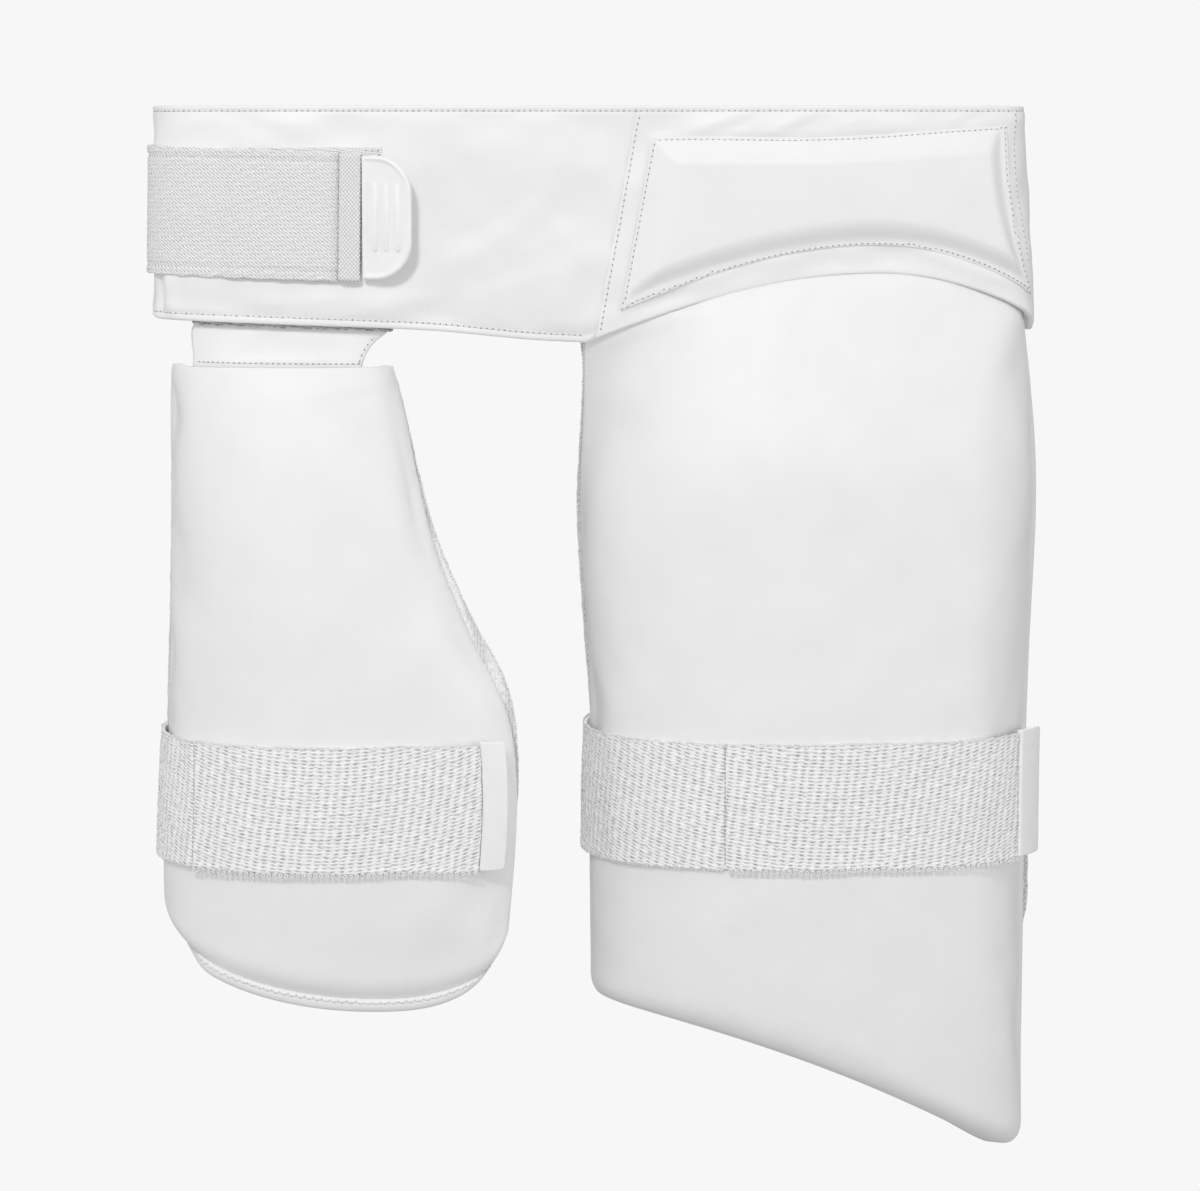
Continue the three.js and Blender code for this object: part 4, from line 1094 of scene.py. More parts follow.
def build_elastic():
    hem = elastic_finish - HEM_LENGTH
    start = panel_end - 30
    along = np.linspace(start, hem, int((hem - start) / 1.8))
    inside = elastic_inside(along)
    heights = band_heights(elastic_middle(along), ELASTIC_HEIGHT, along, 1.3, 6.0)
    heights = heights - 0.25 * np.sin(along * 2 * math.pi / 13) * (heights < heights.mean(0))
    band(waist, "waist_elastic_knit", 0, along, heights, inside, inside + ELASTIC_THICK, 0.7,
         KNIT, "elastic", "waist_elastic", elastic_ruffle)
    along = np.linspace(hem + 0.2, elastic_finish, 26)
    inside = elastic_inside(along)
    heights = band_heights(elastic_middle(along), ELASTIC_HEIGHT - 0.8, along, 1.3)
    swell = HEM_THICK - 0.9 * (2 * (along - hem) / HEM_LENGTH - 1) ** 2
    band(waist, "waist_elastic_hem", 0, along, heights, inside, inside + swell, 1.6,
         HEM, "elastic", "waist_elastic")


build_elastic()


def build_patch():
    along = np.linspace(patch_start, float(waist.across(PATCH_END_X, 0)), 70)
    heights = band_heights(PATCH_Z, PATCH_HEIGHT, along, 1.5)
    band(waist, "belt_patch_pile", 0, along, heights, GAP * 0.5, GAP + PATCH_THICK, 0.6,
         PATCH, "strap_pile", "belt_loop_patch")
    top = PATCH_Z + PATCH_HEIGHT / 2
    run = np.linspace(elastic_finish, along[-1] - 1.6, 30)
    lines = [surface_line(waist, run, top - 1.8, GAP + PATCH_THICK)]
    lines.append(surface_line(waist, along[-1] - 1.5, np.linspace(top - 1.6, 20, 12), GAP + PATCH_THICK))
    add_stitching("patch_stitches", lines, "strap_pile", pitch=2.4, length=1.5)


build_patch()


def rounded_outline(half_width, half_height, radius, steps=14):
    """A rounded rectangle round the origin, counterclockwise, with the same count at any size."""
    points = []
    for k, (sx, sy) in enumerate(((1, 1), (-1, 1), (-1, -1), (1, -1))):
        r = radius[k]
        angles = np.linspace(k * math.pi / 2, (k + 1) * math.pi / 2, steps)
        centre = np.array([sx * (half_width - r), sy * (half_height - r)])
        points.append(centre + r * np.stack([np.cos(angles), np.sin(angles)], -1))
    return np.concatenate(points)


TAB_LENGTH = 26
TAB_HEIGHT = 61
TAB_THICK = 2.6
TAB_CORNER = 19
TAB_LIFT = 8.5
TAB_LEAN = math.asin(TAB_LIFT / TAB_LENGTH)
TAB_CURL = 0.45
TAB_FACE = 1.95
RIB_COUNT = 3
RIB_PITCH = 6.0
RIB_LENGTH = 34.0
RIB_RADIUS = 1.3
# Inset and height of the tab's surface, from its back edge over its rim to its sunk face
TAB_PROFILE = [(0.8, 0.0), (0.3, 0.15), (0.0, 0.6), (0.0, 1.9), (0.25, 2.4), (0.7, 2.75), (1.3, 2.8),
               (1.9, 2.65), (2.3, 2.2), (2.8, 1.95), (3.6, 1.9)]


def plate(profile, half_width, half_height, radii, bulge):
    """A moulded plate: outlines at rising insets, closed front and back."""
    rings = []
    for inset, height in profile:
        corners = [max(0.3, r - inset) for r in radii]
        outline = rounded_outline(half_width - inset, half_height - inset, corners)
        rings.append(np.column_stack([outline, np.full(len(outline), height)]))
    last = rings[-1]
    for share in (0.75, 0.45, 0.15):
        ring = last * np.array([share, share, 1])
        ring[:, 2] += bulge * (1 - share * share)
        rings.append(ring)
    count = len(rings[0])
    points = np.concatenate(rings)
    index = np.arange(len(points)).reshape(len(rings), count)
    index = np.concatenate([index, index[:, :1]], 1)
    faces = grid_quads(index)[:, ::-1].tolist()
    faces += [list(range(count))[::-1], list(range(len(points) - count, len(points)))]
    return points, faces


def build_pull_tab():
    half = TAB_LENGTH / 2
    parts = [plate(TAB_PROFILE, half, TAB_HEIGHT / 2, [TAB_CORNER, 1, 1, TAB_CORNER], 0.15)]
    form, faces = capsule(RIB_LENGTH, RIB_RADIUS, 12)
    for k in range(RIB_COUNT):
        centre = np.array([[(k - (RIB_COUNT - 1) / 2) * RIB_PITCH, 0, TAB_FACE]])
        parts.append(copies(form, faces, centre, np.array([[0, 1.0, 0]]), np.array([[0, 0, 1.0]])))
    points, faces = joined(parts)
    lean, turn = math.cos(TAB_LEAN), math.sin(TAB_LEAN)
    x, up, out = points[:, 0] + half, points[:, 1], points[:, 2]
    share = np.clip(x / TAB_LENGTH, 0, 1)
    lifted = out * (1 - 0.15 * share)
    start = ELASTIC_END_X + GAP + TAB_THICK * turn
    seat = -WAIST_FRONT - GAP - PATCH_THICK - GAP
    placed = np.column_stack([
        start + x * lean - lifted * turn,
        seat - x * turn - lifted * lean + TAB_CURL * share**2,
        ELASTIC_RISE - ELASTIC_FALL + up,
    ])
    mesh = mesh_of("pull_tab_moulding", placed, faces, points)
    add("pull_tab_moulding", mesh, MOULDED, "moulded", "pull_tab")


build_pull_tab()


# Thigh pads

def full_depth(share, thick):
    """The pad's thickness across its width, thinner at both sides."""
    return mix(PAD_EDGE_THICK, thick, 1 - (2 * share - 1) ** 4)


def belt_along(share):
    """Where a share of the outer pad's width is sewn behind the belt."""
    return mix(ARCH_START, float(waist.size(waist.to_right, BELT_BOTTOM)), share)


class Pad:
    """A thigh pad's grid of places: how far round the leg, how high, how thick and how far in."""

    def __init__(self, loop, reach, reference, top_at, bottom_at, come_out, thick, step):
        width = float(loop.size(loop.to_left, reference)) + reach * float(loop.size(loop.to_right, reference))
        stops = edge_stops(width, PAD_BEVEL, step)
        from_right = width - stops
        guide = {"share": stops / width, "side": np.minimum(stops, from_right)}
        guide["along"] = stops - float(loop.size(loop.to_left, reference))
        top, bottom = top_at(guide), bottom_at(guide)
        self.guide = guide
        self.down = edge_stops(top - bottom, PAD_BEVEL, step).T
        self.z = top - self.down
        left, right = loop.size(loop.to_left, self.z), reach * loop.size(loop.to_right, self.z)
        wide = left + right
        inside = PAD_BEVEL + (wide - 2 * PAD_BEVEL) * (stops - PAD_BEVEL) / (width - 2 * PAD_BEVEL)
        at = np.where(stops < PAD_BEVEL, stops, np.where(from_right < PAD_BEVEL, wide - from_right, inside))
        self.along = at - left
        self.share = at / wide
        self.to_side = np.minimum(at, wide - at)
        self.to_edge = np.minimum(self.to_side, np.minimum(self.down, (top - bottom) - self.down))
        self.out = come_out(self.share, self.z)
        self.depth = mix(PAD_TOP_THICK, full_depth(self.share, thick), self.out)
        fall = np.clip(self.to_edge / PAD_BEVEL, 0, 1)
        self.fall = (self.depth - PAD_RIM) * (1 - np.sqrt(1 - (1 - fall) ** 2))


def outer_bottom(guide):
    reference = OUTER_LEFT_BOTTOM_Z
    x = outer.look(guide["along"], reference)[..., 0]
    left = outer.look(-outer.size(outer.to_left, reference), reference)[0]
    right = outer.look(outer.size(outer.to_right, reference), reference)[0]
    share = np.clip((x - left) / (right - left), 0, 1)
    return reference - OUTER_POINT_DROP * share**OUTER_POINT_POWER + quarter_fall(guide["side"], OUTER_CORNER)


outer_pad = Pad(
    outer, 1.0, OUTER_LEFT_BOTTOM_Z,
    lambda guide: arch_z(belt_along(guide["share"])) + OUTER_TUCK,
    outer_bottom,
    lambda share, z: np.sin(np.clip((arch_z(belt_along(share)) - z) / PAD_EMERGE, 0, 1) * math.pi / 2),
    OUTER_THICK, 2.6,
)


def outer_place(pad, offset, extra=0.0):
    """Points of the outer pad: behind the belt on top, round the leg below."""
    level = np.maximum(pad.z, float(arch_z(ARCH_START)))
    tucked = waist.at(belt_along(pad.share) + extra, level, offset - BELT_THICK - SEAT)
    tucked[..., 2] = pad.z
    return mix(tucked, outer.at(pad.along + extra, pad.z, offset), pad.out[..., None])


def binding_width(side):
    """The binding's width, which tapers off to the pad's sides."""
    return 1 + (BINDING_WIDTH - 1) * smooth(side, 0, INNER_CLIMB_LEFT)


def inner_edge_z(guide):
    """The inner pad's rounded lower edge, under its binding."""
    to_left = np.maximum(0, INNER_LOWEST - guide["share"]) / INNER_LOWEST
    to_right = np.maximum(0, guide["share"] - INNER_LOWEST) / (1 - INNER_LOWEST)
    climb = INNER_CLIMB_LEFT * to_left**INNER_CURVE_LEFT + INNER_CLIMB_RIGHT * to_right**INNER_CURVE_RIGHT
    return INNER_BOTTOM_Z + climb + quarter_fall(guide["side"], INNER_CORNER)


def make_inner(top):
    return Pad(
        inner, INNER_EDGE_REACH, INNER_BOTTOM_Z + INNER_CLIMB_LEFT,
        lambda guide: top + 0 * guide["share"],
        lambda guide: inner_edge_z(guide) + binding_width(guide["side"]) + GAP,
        lambda share, z: smooth(INNER_TOP_Z - z, 0, PAD_EMERGE),
        INNER_THICK, 2.4,
    )


inner_pad = make_inner(INNER_TOP_Z)
inner_lining = make_inner(INNER_TOP_Z - FLAP_LAP - GAP)


def inner_place(pad, offset, extra=0.0):
    return inner.at(pad.along + extra, pad.z, offset)


PAD_FOLDS = {
    "outer": [
        {"x": 6, "z": -120, "turn": 84, "length": 60, "width": 6, "rise": 0.5},
        {"x": 190, "z": -100, "turn": 70, "length": 40, "width": 10, "rise": 0.5},
        {"x": 120, "z": -250, "turn": 4, "length": 80, "width": 14, "rise": 0.5},
        {"x": 60, "z": -360, "turn": 30, "length": 50, "width": 12, "rise": 0.5},
    ],
    "inner": [
        {"x": -116, "z": -86, "turn": 10, "length": 16, "width": 2.2, "rise": 0.8},
        {"x": -112, "z": -91, "turn": 14, "length": 14, "width": 2.0, "rise": -0.6},
        {"x": -190, "z": -86, "turn": -8, "length": 16, "width": 2.6, "rise": -0.5},
        {"x": -170, "z": -150, "turn": 60, "length": 40, "width": 9, "rise": 0.4},
        {"x": -90, "z": -350, "turn": 20, "length": 40, "width": 9, "rise": 0.4},
    ],
}

PAD_LUMPS = [(0.45, 60, 55, 0), (0.15, 21, 17, 3)]
LINING_LUMPS = [(0.35, 14, 14, 0)]


def pad_face(pad, place, folds, swell):
    """The pad's cover: its round edges, folds and lumps, and its foam."""
    flat = place(pad, -pad.fall)
    inside = smooth(pad.to_edge, 2, 16)
    soft = layers(lumps, PAD_LUMPS, pad.along, pad.z)
    pressed = cloth_swell(flat, 2.5, 0.01, 3.0)
    rise = fold_rise(folds, flat[..., 0], flat[..., 2]) + soft - 0.35 + pressed - 0.4 * pressed.mean()
    return place(pad, -pad.fall + inside * rise + swell)


def under_belt_swell():
    """The outer pad's foam comes forward just below the belt's edge."""
    drop = arch_z(belt_along(outer_pad.share)) - outer_pad.z
    return 2.4 * smooth(drop, -6, 7) * (1 - smooth(drop, 14, 70)) * smooth(outer_pad.to_side, 2, 16)


def build_pad(side, pad, place, lining_pad, swell):
    """A pad's cover, and the mesh lining that stands proud."""
    name = side + "_pad_cover"
    face, back = pad_face(pad, place, PAD_FOLDS[side], swell), place(pad, -pad.depth)
    mesh = shell(name, face, back, cloth_of(pad.along, pad.z))
    add(name, mesh, LEATHER, "cover", side + "_pad")
    column = np.arange(lining_pad.along.shape[1])
    proud = LINING_PROUD * (smooth(column, 0, 6) - 1 + smooth(column, column[-1] - 6, column[-1]))
    behind = -lining_pad.depth - SEAT
    quilt = layers(lumps, LINING_LUMPS, lining_pad.along, lining_pad.z)
    front = place(lining_pad, behind, proud)
    back = place(lining_pad, behind - LINING_THICK + quilt, proud)
    mesh = shell(side + "_lining_mesh", front, back, cloth_of(lining_pad.along, lining_pad.z))
    lining = add(side + "_lining_mesh", mesh, LINING, "lining", side + "_lining")
    declare_sheet(front)


build_pad("outer", outer_pad, outer_place, outer_pad, under_belt_swell())
build_pad("inner", inner_pad, inner_place, inner_lining, 0.0)


BINDING_SET_BACK = 0.42  # of the pad's rounding
BINDING_START = 34
BINDING_OVERLAP = 1.7
ZIGZAG_PITCH = 2.2
ZIGZAG_HALF = 1.0
ZIGZAG_LIFT = 0.25


def build_binding():
    """The soft binding along the inner pad's lower edge."""
    first = np.where(inner_pad.guide["share"] < 0.5, BINDING_START, 2.0)
    side = inner_pad.guide["side"] - first
    keep = side > 0
    along, depth = inner_pad.along[-1][keep], inner_pad.depth[-1][keep]
    fall, start = inner_pad.fall[-1][keep], inner_pad.z[-1][keep]
    full = smooth(side[keep], 2, 34)
    width = binding_width(inner_pad.guide["side"][keep])
    turn = np.linspace(0, 1, 13)[:, None]
    z = start - GAP - width * turn + BINDING_OVERLAP * full * (1 - turn)
    round_face = np.sin(turn * math.pi)
    puff = mix(0.3, 1.6, full) * round_face**0.7 + 0.3 * full * lumps(along / 9, 0 * along) * round_face
    face = inner.at(along + 0 * z, z, puff - mix(1, BINDING_SET_BACK, full) * fall)
    back = inner.at(along + 0 * z, z, -depth - 0.2)
    mesh = shell("inner_binding_tape", face, back, cloth_of(along + 0 * z, z))
    piece = add("inner_binding_tape", mesh, LEATHER, "cover", "inner_binding")
    length = np.linalg.norm(np.diff(face[4], axis=0), axis=1).sum()
    add_zigzag(piece, along, z[1], int(length / ZIGZAG_PITCH))


def add_zigzag(piece, along, level, count):
    """The zigzag stitch over the binding's upper edge, with dark marks of painted shade at its needle holes.
    """
    run = np.interp(np.linspace(0, 1, count), np.linspace(0, 1, len(along)), along)
    height = np.interp(run, along, level) + np.where(np.arange(count) % 2 == 0, ZIGZAG_HALF, -ZIGZAG_HALF)
    points, normals = laid(piece, inner.at(run, height, 2.0), ZIGZAG_LIFT)
    centre, reach = (points[1:] + points[:-1]) / 2, points[1:] - points[:-1]
    tangent = unit(reach)
    normal = square_to(normals[1:], tangent)
    thread = capsule(np.linalg.norm(reach, axis=1).mean() * 0.94, 0.42, 6)
    add_threads("binding_zigzag", [copies(*thread, centre, tangent, normal)], THREAD, "cover")
    # dark marks at the needle holes: painted shade
    needle_shade = copies(*capsule(1.0, 0.4, 6), points[1:] - normals[1:] * ZIGZAG_LIFT, tangent, normal)
    add_threads("binding_zigzag_holes", [needle_shade], SEAM_SHADE, "cover")


build_binding()


LIP_THICK = 1.1
LIP_RAG = 0.25


def build_lip(name, pad, place, sign, low, high, width):
    """The overlocked edge of a pad's cover and lining: a thin lip that shows beyond the pad's side."""
    face = place(pad, -pad.fall - 0.6)
    rim = face[:, 0 if sign < 0 else -1]
    beyond = sign * ((sign * face[..., 0]).max(1) - sign * rim[:, 0])
    keep = (rim[:, 2] > low) & (rim[:, 2] < high)
    rim, beyond = rim[keep], np.abs(beyond[keep])
    upper = smooth(rim[:, 2], mix(low, high, 0.6), high)
    ends = smooth(rim[:, 2], low, mix(low, high, 0.3)) * mix(1, 0.55, upper)
    ragged = LIP_RAG * fluff(rim[:, 2] / 1.7, 0 * rim[:, 2])
    reach = (beyond + (width + ragged) * ends)[:, None]
    outward = np.array([sign, 0.0, 0.0])
    front = np.stack([rim + outward * reach * share for share in np.linspace(0, 1, 9)], 1)
    front = np.concatenate([rim[:, None] - outward * 1.2, front], 1)
    back = front + np.array([0, LIP_THICK, 0])
    if sign < 0:
        front, back = front[:, ::-1], back[:, ::-1]
    add(name, shell(name, front, back, front), LIP, "lining")
    edge = rim + outward * (reach - width * 0.4) + np.array([0, -0.3, 0])
    add_threads(name + "_stitches", [overlock_line(facing(edge, (0, -1, 0)), width, 0.8)], THREAD, "lining")


build_lip("outer_left_lip", outer_pad, outer_place, -1, low=-275, high=-56, width=2.0)
build_lip("outer_right_lip", outer_pad, outer_place, 1, low=-374, high=-318, width=2.4)
build_lip("inner_left_lip", inner_pad, inner_place, -1, low=-372, high=-100, width=1.0)
build_lip("inner_right_lip", inner_pad, inner_place, 1, low=-352, high=-84, width=1.3)


# Flap and its hook tape

FLAP_LUMPS = [(0.4, 16, 9, 0)]
FLAP_WIDTH = 105
FLAP_EDGE_ROUND = 0.9
FLAP_HEM = 1.7


def flap_x(side, down):
    return INNER_X + INNER_WIDTH * through(FLAP_EDGES, side, down)


def build_flap():
    columns = 70
    across = np.linspace(0, 1, columns)
    edge = belt_edge_z(waist.across(mix(flap_x("left", 0), flap_x("right", 0), across), BELT_BOTTOM))
    z = mix(edge + TAPE_RISE, INNER_TOP_Z - FLAP_LAP, np.linspace(0, 1, 44)[:, None])
    down = np.clip((edge - z) / (edge - INNER_TOP_Z), 0, 1)
    x = mix(flap_x("left", down), flap_x("right", down), across)
    hung, sewn = np.maximum(z, edge), np.minimum(z, INNER_TOP_Z)
    tape = -BELT_THICK - TAPE_THICK - 2 * SEAT
    dimple = -0.9 * ridge(x, -180, 7) * ridge(z, -66, 5) + 0.6 * ridge(x, -168, 6) * ridge(z, -68, 5)
    soft = layers(lumps, FLAP_LUMPS, x, z) * smooth(down, 0.05, 0.3) * (1 - smooth(down, 0.8, 0.95))
    sides = quarter_fall(np.minimum(across, 1 - across) * FLAP_WIDTH, FLAP_EDGE_ROUND)
    grids = []
    for thick, share in ((0, 1), (-FLAP_THICK, -0.3)):
        wave = dimple + soft - share * sides
        carried = waist.at(waist.across(x, hung), hung, tape + thick + wave)
        joined_to = inner.at(inner.across(x, sewn), sewn, thick - PAD_TOP_THICK - SEAT + wave)
        grid = mix(carried, joined_to, smooth(down, 0.1, 0.9)[..., None])
        grid[..., 2] = z
        grids.append(grid)
    face, back = grids
    mesh = shell("inner_flap_cover", face, back, cloth_of(x, z))
    piece = add("inner_flap_cover", mesh, LEATHER, "cover", "inner_flap")
    declare_sheet(face)
    row = int(np.argmin(np.abs(z[:, columns // 2] - INNER_TOP_Z - FLAP_HEM)))
    lift = np.array([0, -0.05, 0])
    bottom, right = face[row, 2:-2] + lift, face[20:row, columns - 3] + lift
    lines = [facing(bottom, (0, -1, 0)), facing(right, (0, -1, 0))]
    add_stitching("flap_stitches", lines, pitch=2.8, length=1.6)
    left = facing(face[18:row, 0], (-1, 0, 0))
    add_threads("flap_overlock", [overlock_line(left, 2.2)], THREAD, "cover")


build_flap()


HOOK_DROP = 1.4
HOOK_RAG = 0.7


def build_hook_tape():
    start, end = (float(waist.across(flap_x(side, 0), BELT_BOTTOM)) for side in ("left", "right"))
    along = np.linspace(start, end, 170)
    edge = belt_edge_z(along)
    proud = HOOK_DROP + HOOK_RAG * fluff(along / 1.3, along * 0)
    z = mix(edge + TAPE_RISE, edge - proud, np.linspace(0, 1, 12)[:, None])
    outside = -BELT_THICK - GAP
    rough = 0.25 * fluff(along / 0.9 + 40, z / 0.9)
    face = waist.at(along + 0 * z, z, outside + rough * (z < edge))
    back = waist.at(along + 0 * z, z, outside - TAPE_THICK)
    mesh = shell("flap_tape_hooks", face, back, cloth_of(along + 0 * z, z))
    add("flap_tape_hooks", mesh, HOOK, "hook_tape", "flap_hook_tape")


build_hook_tape()


# Thigh straps

def ring_form(major, minor, around=12, across=6):
    """A small ring of thread in the plane of its first two axes."""
    a = np.arange(around) / around * 2 * math.pi
    b = np.arange(across) / across * 2 * math.pi
    a, b = np.meshgrid(a, b, indexing="ij")
    far = major + minor * np.cos(b)
    points = np.stack([far * np.cos(a), far * np.sin(a), minor * np.sin(b)], -1).reshape(-1, 3)
    index = np.arange(around * across).reshape(around, across)
    index = np.concatenate([index, index[:, :1]], 1)
    index = np.concatenate([index, index[:1]], 0)
    return points, grid_quads(index)[:, ::-1].tolist()


LOOP_DROP = 0.6
LOOP_FORWARD = 1.2


def add_edge_loops(name, loop, outside, along, heights, seam):
    """Loops of the pile along the strap's lower edge, larger beyond the seam, and small ones on top."""
    rows = [
        {"start": along[0], "end": seam, "row": -1, "pitch": 2.1, "loop": 0.55, "yarn": 0.24, "proud": 0},
        {"start": seam, "end": along[-1], "row": -1, "pitch": 2.9, "loop": 0.8, "yarn": 0.42, "proud": 1},
        {"start": along[0], "end": along[-1], "row": 0, "pitch": 1.7, "loop": 0.55, "yarn": 0.22, "proud": 0},
    ]
    parts = []
    for row in rows:
        at = np.arange(row["start"] + row["pitch"], row["end"] - 1, row["pitch"])
        z = np.interp(at, along, heights[row["row"]]) - LOOP_DROP * row["proud"]
        out = outside(at, z) + LOOP_FORWARD * row["proud"] + 0.2 * fluff(at * 1.7, 0 * at)
        points = loop.at(at, z + 0.15 * fluff(at * 2.3 + 9, 0 * at), out)
        normal = loop.at(at, z, out + 1) - points
        form = ring_form(row["loop"], row["yarn"])
        parts.append(copies(*form, points, np.cross(normal, (0, 0, 1.0)), normal))
    add_threads(name + "_edge_loops", parts, THREAD, "strap_pile")


STRAP_STEP = 1.0
STRAP_LUMPS = [(0.7, 38, 60, 0), (0.3, 14, 22, 11)]
PILE_FUZZ = [(0.28, 0.95, 0.85, 0), (0.22, 2.3, 2.1, 31)]
SEAM_GROOVE = 1.2
PILE_SAG = 0.5
HOOK_INSET = 3.0
TAB_PROUD = 1.6


def build_strap(name, loop, reach, thick, level, end_x, tab_length, hook_x, seam_x, lift, hug):
    """A strap of loop pile: sewn behind the pad's outer edge, round the leg and over its face."""
    around = float(loop.size(loop.around, level))
    to_left = float(loop.size(loop.to_left, level))
    pad_right = reach * float(loop.size(loop.to_right, level))
    pad_edge = pad_right - around
    finish, hook, seam = (float(loop.across(x, level)) for x in (end_x, hook_x, seam_x))

    def inside(along):
        turn = smooth(along, pad_edge + 8, -to_left - 8)
        share = 1 - np.maximum(0, pad_edge - along) / (to_left + pad_right)
        behind = -full_depth(share, thick) - LINING_THICK - 2 * SEAT - STRAP_THICK
        on_hook = smooth(along, hook - 16, hook - 4)
        behind_leg = smooth(along, pad_edge + 8, pad_edge + 60) * smooth(along, -to_left + 4, -to_left - 12)
        return mix(behind, SEAT, turn) + (STRAP_HOOK_THICK + GAP) * on_hook - hug * behind_leg

    def sag(along):
        middle, half = (finish - to_left) / 2, (finish + to_left) / 2
        return PILE_SAG * np.clip(along - middle, -half, half) ** 2 / (2 * half)

    def soft(along, z):
        return layers(lumps, STRAP_LUMPS, along, z)

    def outside(along, z):
        return inside(along) + STRAP_THICK + soft(along, z)

    def pile(along, z):
        from_bottom = z - (level - STRAP_HEIGHT / 2)
        from_top = STRAP_HEIGHT - from_bottom
        coarse = 1 + 0.8 * smooth(along, seam - 1, seam + 1)
        bead = np.abs(np.sin(along * math.pi / (1.9 + 0.5 * (along > seam))))
        beads = 0.3 * coarse * bead * (from_bottom < 2.4)
        free = smooth(np.minimum(from_top, from_bottom), 0, 2) * (1 - ridge(along, seam, 1.6))
        groove = 0.5 * ridge(along, seam + 2.4, 1.6) - SEAM_GROOVE * ridge(along, seam, 0.9)
        return beads + layers(fluff, PILE_FUZZ, along, z) * free + soft(along, z) + groove

    start = pad_edge - STRAP_ANCHOR
    front = -to_left - 14
    fine = np.linspace(front, finish, int((finish - front) / STRAP_STEP))
    along = np.concatenate([np.linspace(start, front, int((front - start) / 3.5))[:-1], fine])
    heights = band_heights(level, STRAP_HEIGHT, along, STRAP_STEP)
    rag = 0.35 * fluff(along / 1.4 + 5, 0 * along) + 0.5 * lumps(along / 22, 0 * along)
    near = smooth(np.abs(heights - level), STRAP_HEIGHT / 2 - 4, STRAP_HEIGHT / 2)
    heights = heights + near * rag
    band(loop, name + "_pile", level, along, heights, inside(along), inside(along) + STRAP_THICK, 0.8,
         PILE, "strap_pile", name, pile, sag)
    add_edge_loops(name, loop, outside, along, heights, seam)
    half = STRAP_HEIGHT / 2 - 1.5
    z = np.linspace(level + half, level - half, 60)
    scale = loop.size(loop.around, z) / around
    # A dark dashed line laid in the seam's groove: painted shade of the groove
    seam_shade_line = surface_line(loop, seam * scale, z, outside(seam + 0 * z, z) - SEAM_GROOVE + 0.3)
    add_threads(name + "_seam_shade", [stitch_line(seam_shade_line, 2.4, 1.8, 0.36)[0]], SEAM_SHADE, "strap_pile")
    run = np.linspace(hook, finish, int((finish - hook) / 2.0))
    under = band_heights(level, STRAP_HEIGHT - HOOK_INSET, run, 3.0, 1.0)
    seat = SEAT + 0 * run
    band(loop, name + "_hook_patch", level, run, under, seat, seat + STRAP_HOOK_THICK, 0.3,
         PATCH, "hook_tape", name + "_hook")
    tab = np.linspace(finish + GAP, finish + tab_length, 20)
    tall = band_heights(level + 1.0, STRAP_HEIGHT + TAB_PROUD, tab, 2.0, 2.5)
    shrink = quarter_fall(finish + tab_length - tab, 3.0)
    tall = (tall - level) * (1 - shrink / (STRAP_HEIGHT / 2)) + level
    peeled = inside(tab) + lift * ((tab - finish) / tab_length) ** 1.3
    band(loop, name + "_end", level, tab, tall, peeled, peeled + STRAP_TAB_THICK, 0.8, MOULDED,
         "moulded", name + "_tab")


build_strap(
    "outer_strap", outer, reach=1.0, thick=OUTER_THICK, level=OUTER_STRAP_Z, end_x=213.5, tab_length=21,
    hook_x=18, seam_x=67, lift=2.5, hug=1.0,
)
build_strap(
    "inner_strap", inner, reach=INNER_EDGE_REACH, thick=INNER_THICK, level=INNER_STRAP_Z, end_x=-56.5,
    tab_length=12, hook_x=-195, seam_x=-199, lift=2.0, hug=2.6,
)


# Floor, light and camera

BACKDROP = (0.93, 0.93, 0.93, 1)
FLOOR_HALF = 40000
FLOOR_Z = -600
SKY_FRONT = (-0.05, -1, 0.3)
SKY_DIM = 0.43
SKY_BRIGHT = 0.68
LENS = 120
SENSOR = 36
CAMERA_PLACE = (0.00375, -2.080, 0.041)
CAMERA_PITCH = 83.36
# Places and sizes of the lights in metres, and their power in watts
LIGHTS = [
    {"name": "key", "at": (-0.75, -2.4, 1.5), "to": (0, -0.05, -0.2), "size": (0.45, 0.45), "power": 28},
    {"name": "top", "at": (0.1, -0.6, 2.0), "to": (0, 0, -0.1), "size": (1.4, 0.9), "power": 3},
    {"name": "right", "at": (2.3, -1.5, 0.1), "to": (0, 0, -0.2), "size": (1.2, 1.6), "power": 14},
    {"name": "left", "at": (-2.5, -0.7, -0.1), "to": (0, 0, -0.2), "size": (1.2, 1.6), "power": 8},
    {"name": "back", "at": (0.2, 2.4, 0.8), "to": (0, 0, -0.2), "size": (1.6, 1.6), "power": 14},
]


def link(name, data):
    made = bpy.data.objects.new(name, data)
    bpy.context.scene.collection.objects.link(made)
    return made


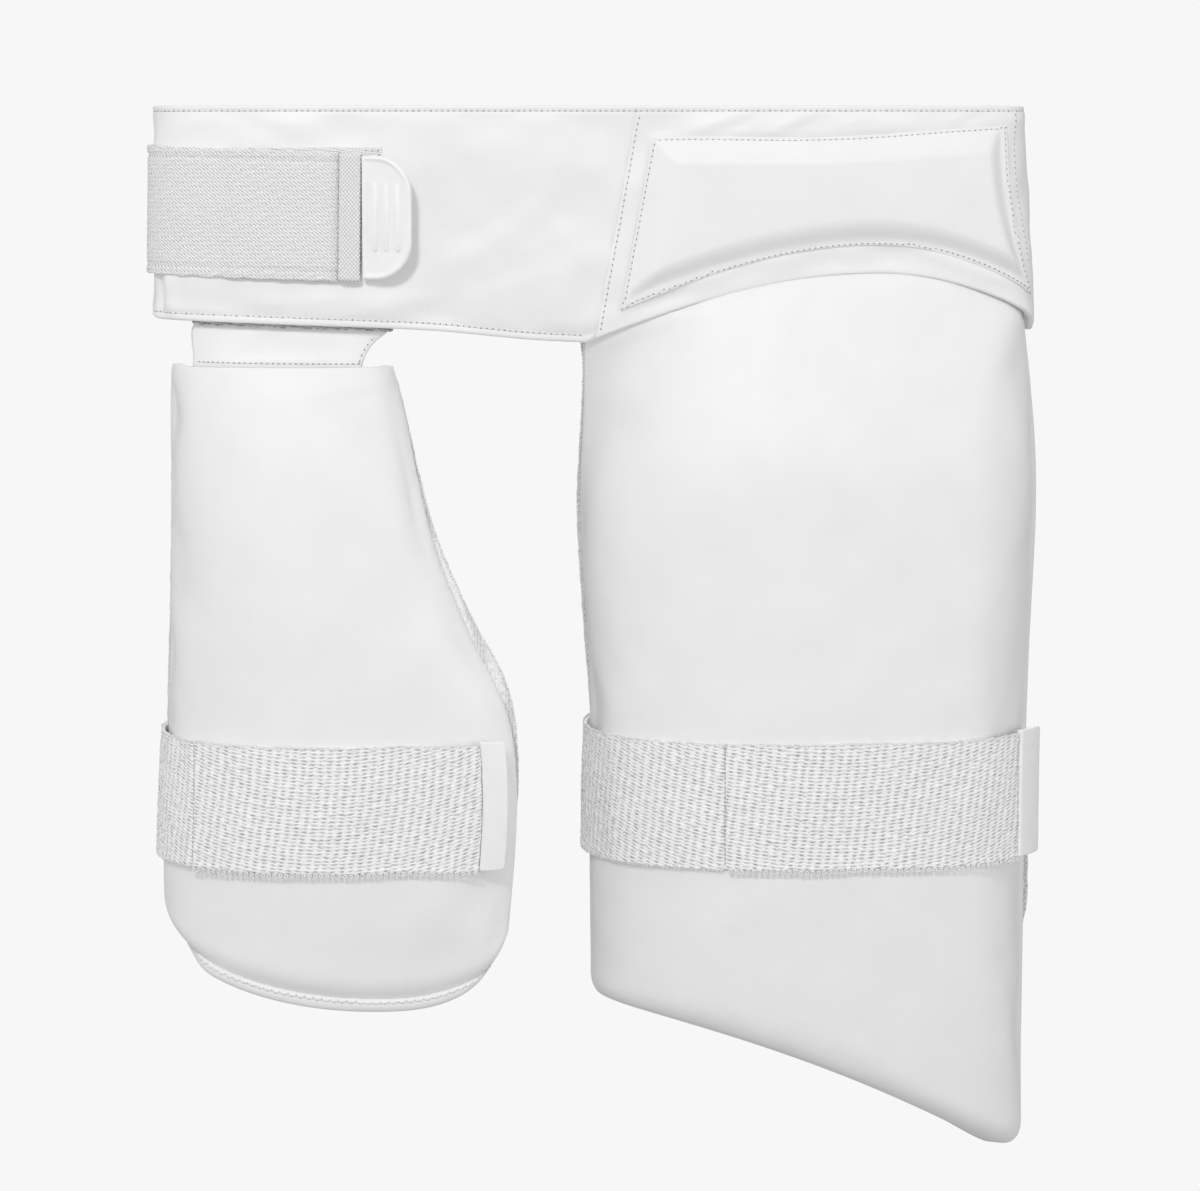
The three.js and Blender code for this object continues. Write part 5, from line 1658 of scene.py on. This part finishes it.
def build_floor():
    corners = [(-1, -1), (1, -1), (1, 1), (-1, 1)]
    mesh = mesh_of("floor", [(x * FLOOR_HALF, y * FLOOR_HALF, FLOOR_Z) for x, y in corners], [[0, 1, 2, 3]])
    floor = link("floor", mesh)
    glow = bpy.data.materials.new("floor")
    glow.use_nodes = True
    shader = glow.node_tree.nodes["Principled BSDF"]
    shader.inputs["Base Color"].default_value = (0, 0, 0, 1)
    shader.inputs["Specular IOR Level"].default_value = 0
    shader.inputs["Emission Color"].default_value = BACKDROP
    shader.inputs["Emission Strength"].default_value = 1
    mesh.materials.append(glow)
    floor.visible_diffuse = False
    floor.visible_glossy = False
    floor.visible_shadow = False


def build_world():
    """Camera rays see an even pale backdrop, and the sky that lights the object is brightest in front."""
    world = bpy.data.worlds.new("studio")
    bpy.context.scene.world = world
    world.use_nodes = True
    tree = world.node_tree
    tree.nodes.clear()
    place = add_node(tree, "TexCoord").outputs["Generated"]
    front = add_node(tree, "VectorMath", {0: place, 1: SKY_FRONT}, operation="DOT_PRODUCT").outputs["Value"]
    span = {"Value": front, "From Min": -1.0, "From Max": 1.0, "To Min": SKY_DIM, "To Max": SKY_BRIGHT}
    strength = add_node(tree, "MapRange", span).outputs["Result"]
    lit = add_node(tree, "Background", {"Strength": strength}).outputs[0]
    seen = add_node(tree, "Background", {"Color": BACKDROP}).outputs[0]
    rays = add_node(tree, "LightPath").outputs["Is Camera Ray"]
    both = add_node(tree, "MixShader", {0: rays, 1: lit, 2: seen}).outputs[0]
    add_node(tree, "OutputWorld", {0: both})


def add_light(name, at, to, size, power):
    data = bpy.data.lights.new(name, "AREA")
    data.shape = "RECTANGLE"
    data.size, data.size_y = size
    data.energy = power
    lamp = link(name, data)
    lamp.location = at
    lamp.rotation_euler = (Vector(to) - Vector(at)).to_track_quat("-Z", "Y").to_euler()


def build_camera():
    data = bpy.data.cameras.new("camera")
    data.lens = LENS
    data.sensor_width = SENSOR
    camera = link("camera", data)
    camera.location = CAMERA_PLACE
    camera.rotation_euler = (math.radians(CAMERA_PITCH), 0, 0)
    bpy.context.scene.camera = camera


build_floor()
build_world()
for light in LIGHTS:
    add_light(**light)
build_camera()
bpy.context.scene.view_settings.view_transform = "Standard"
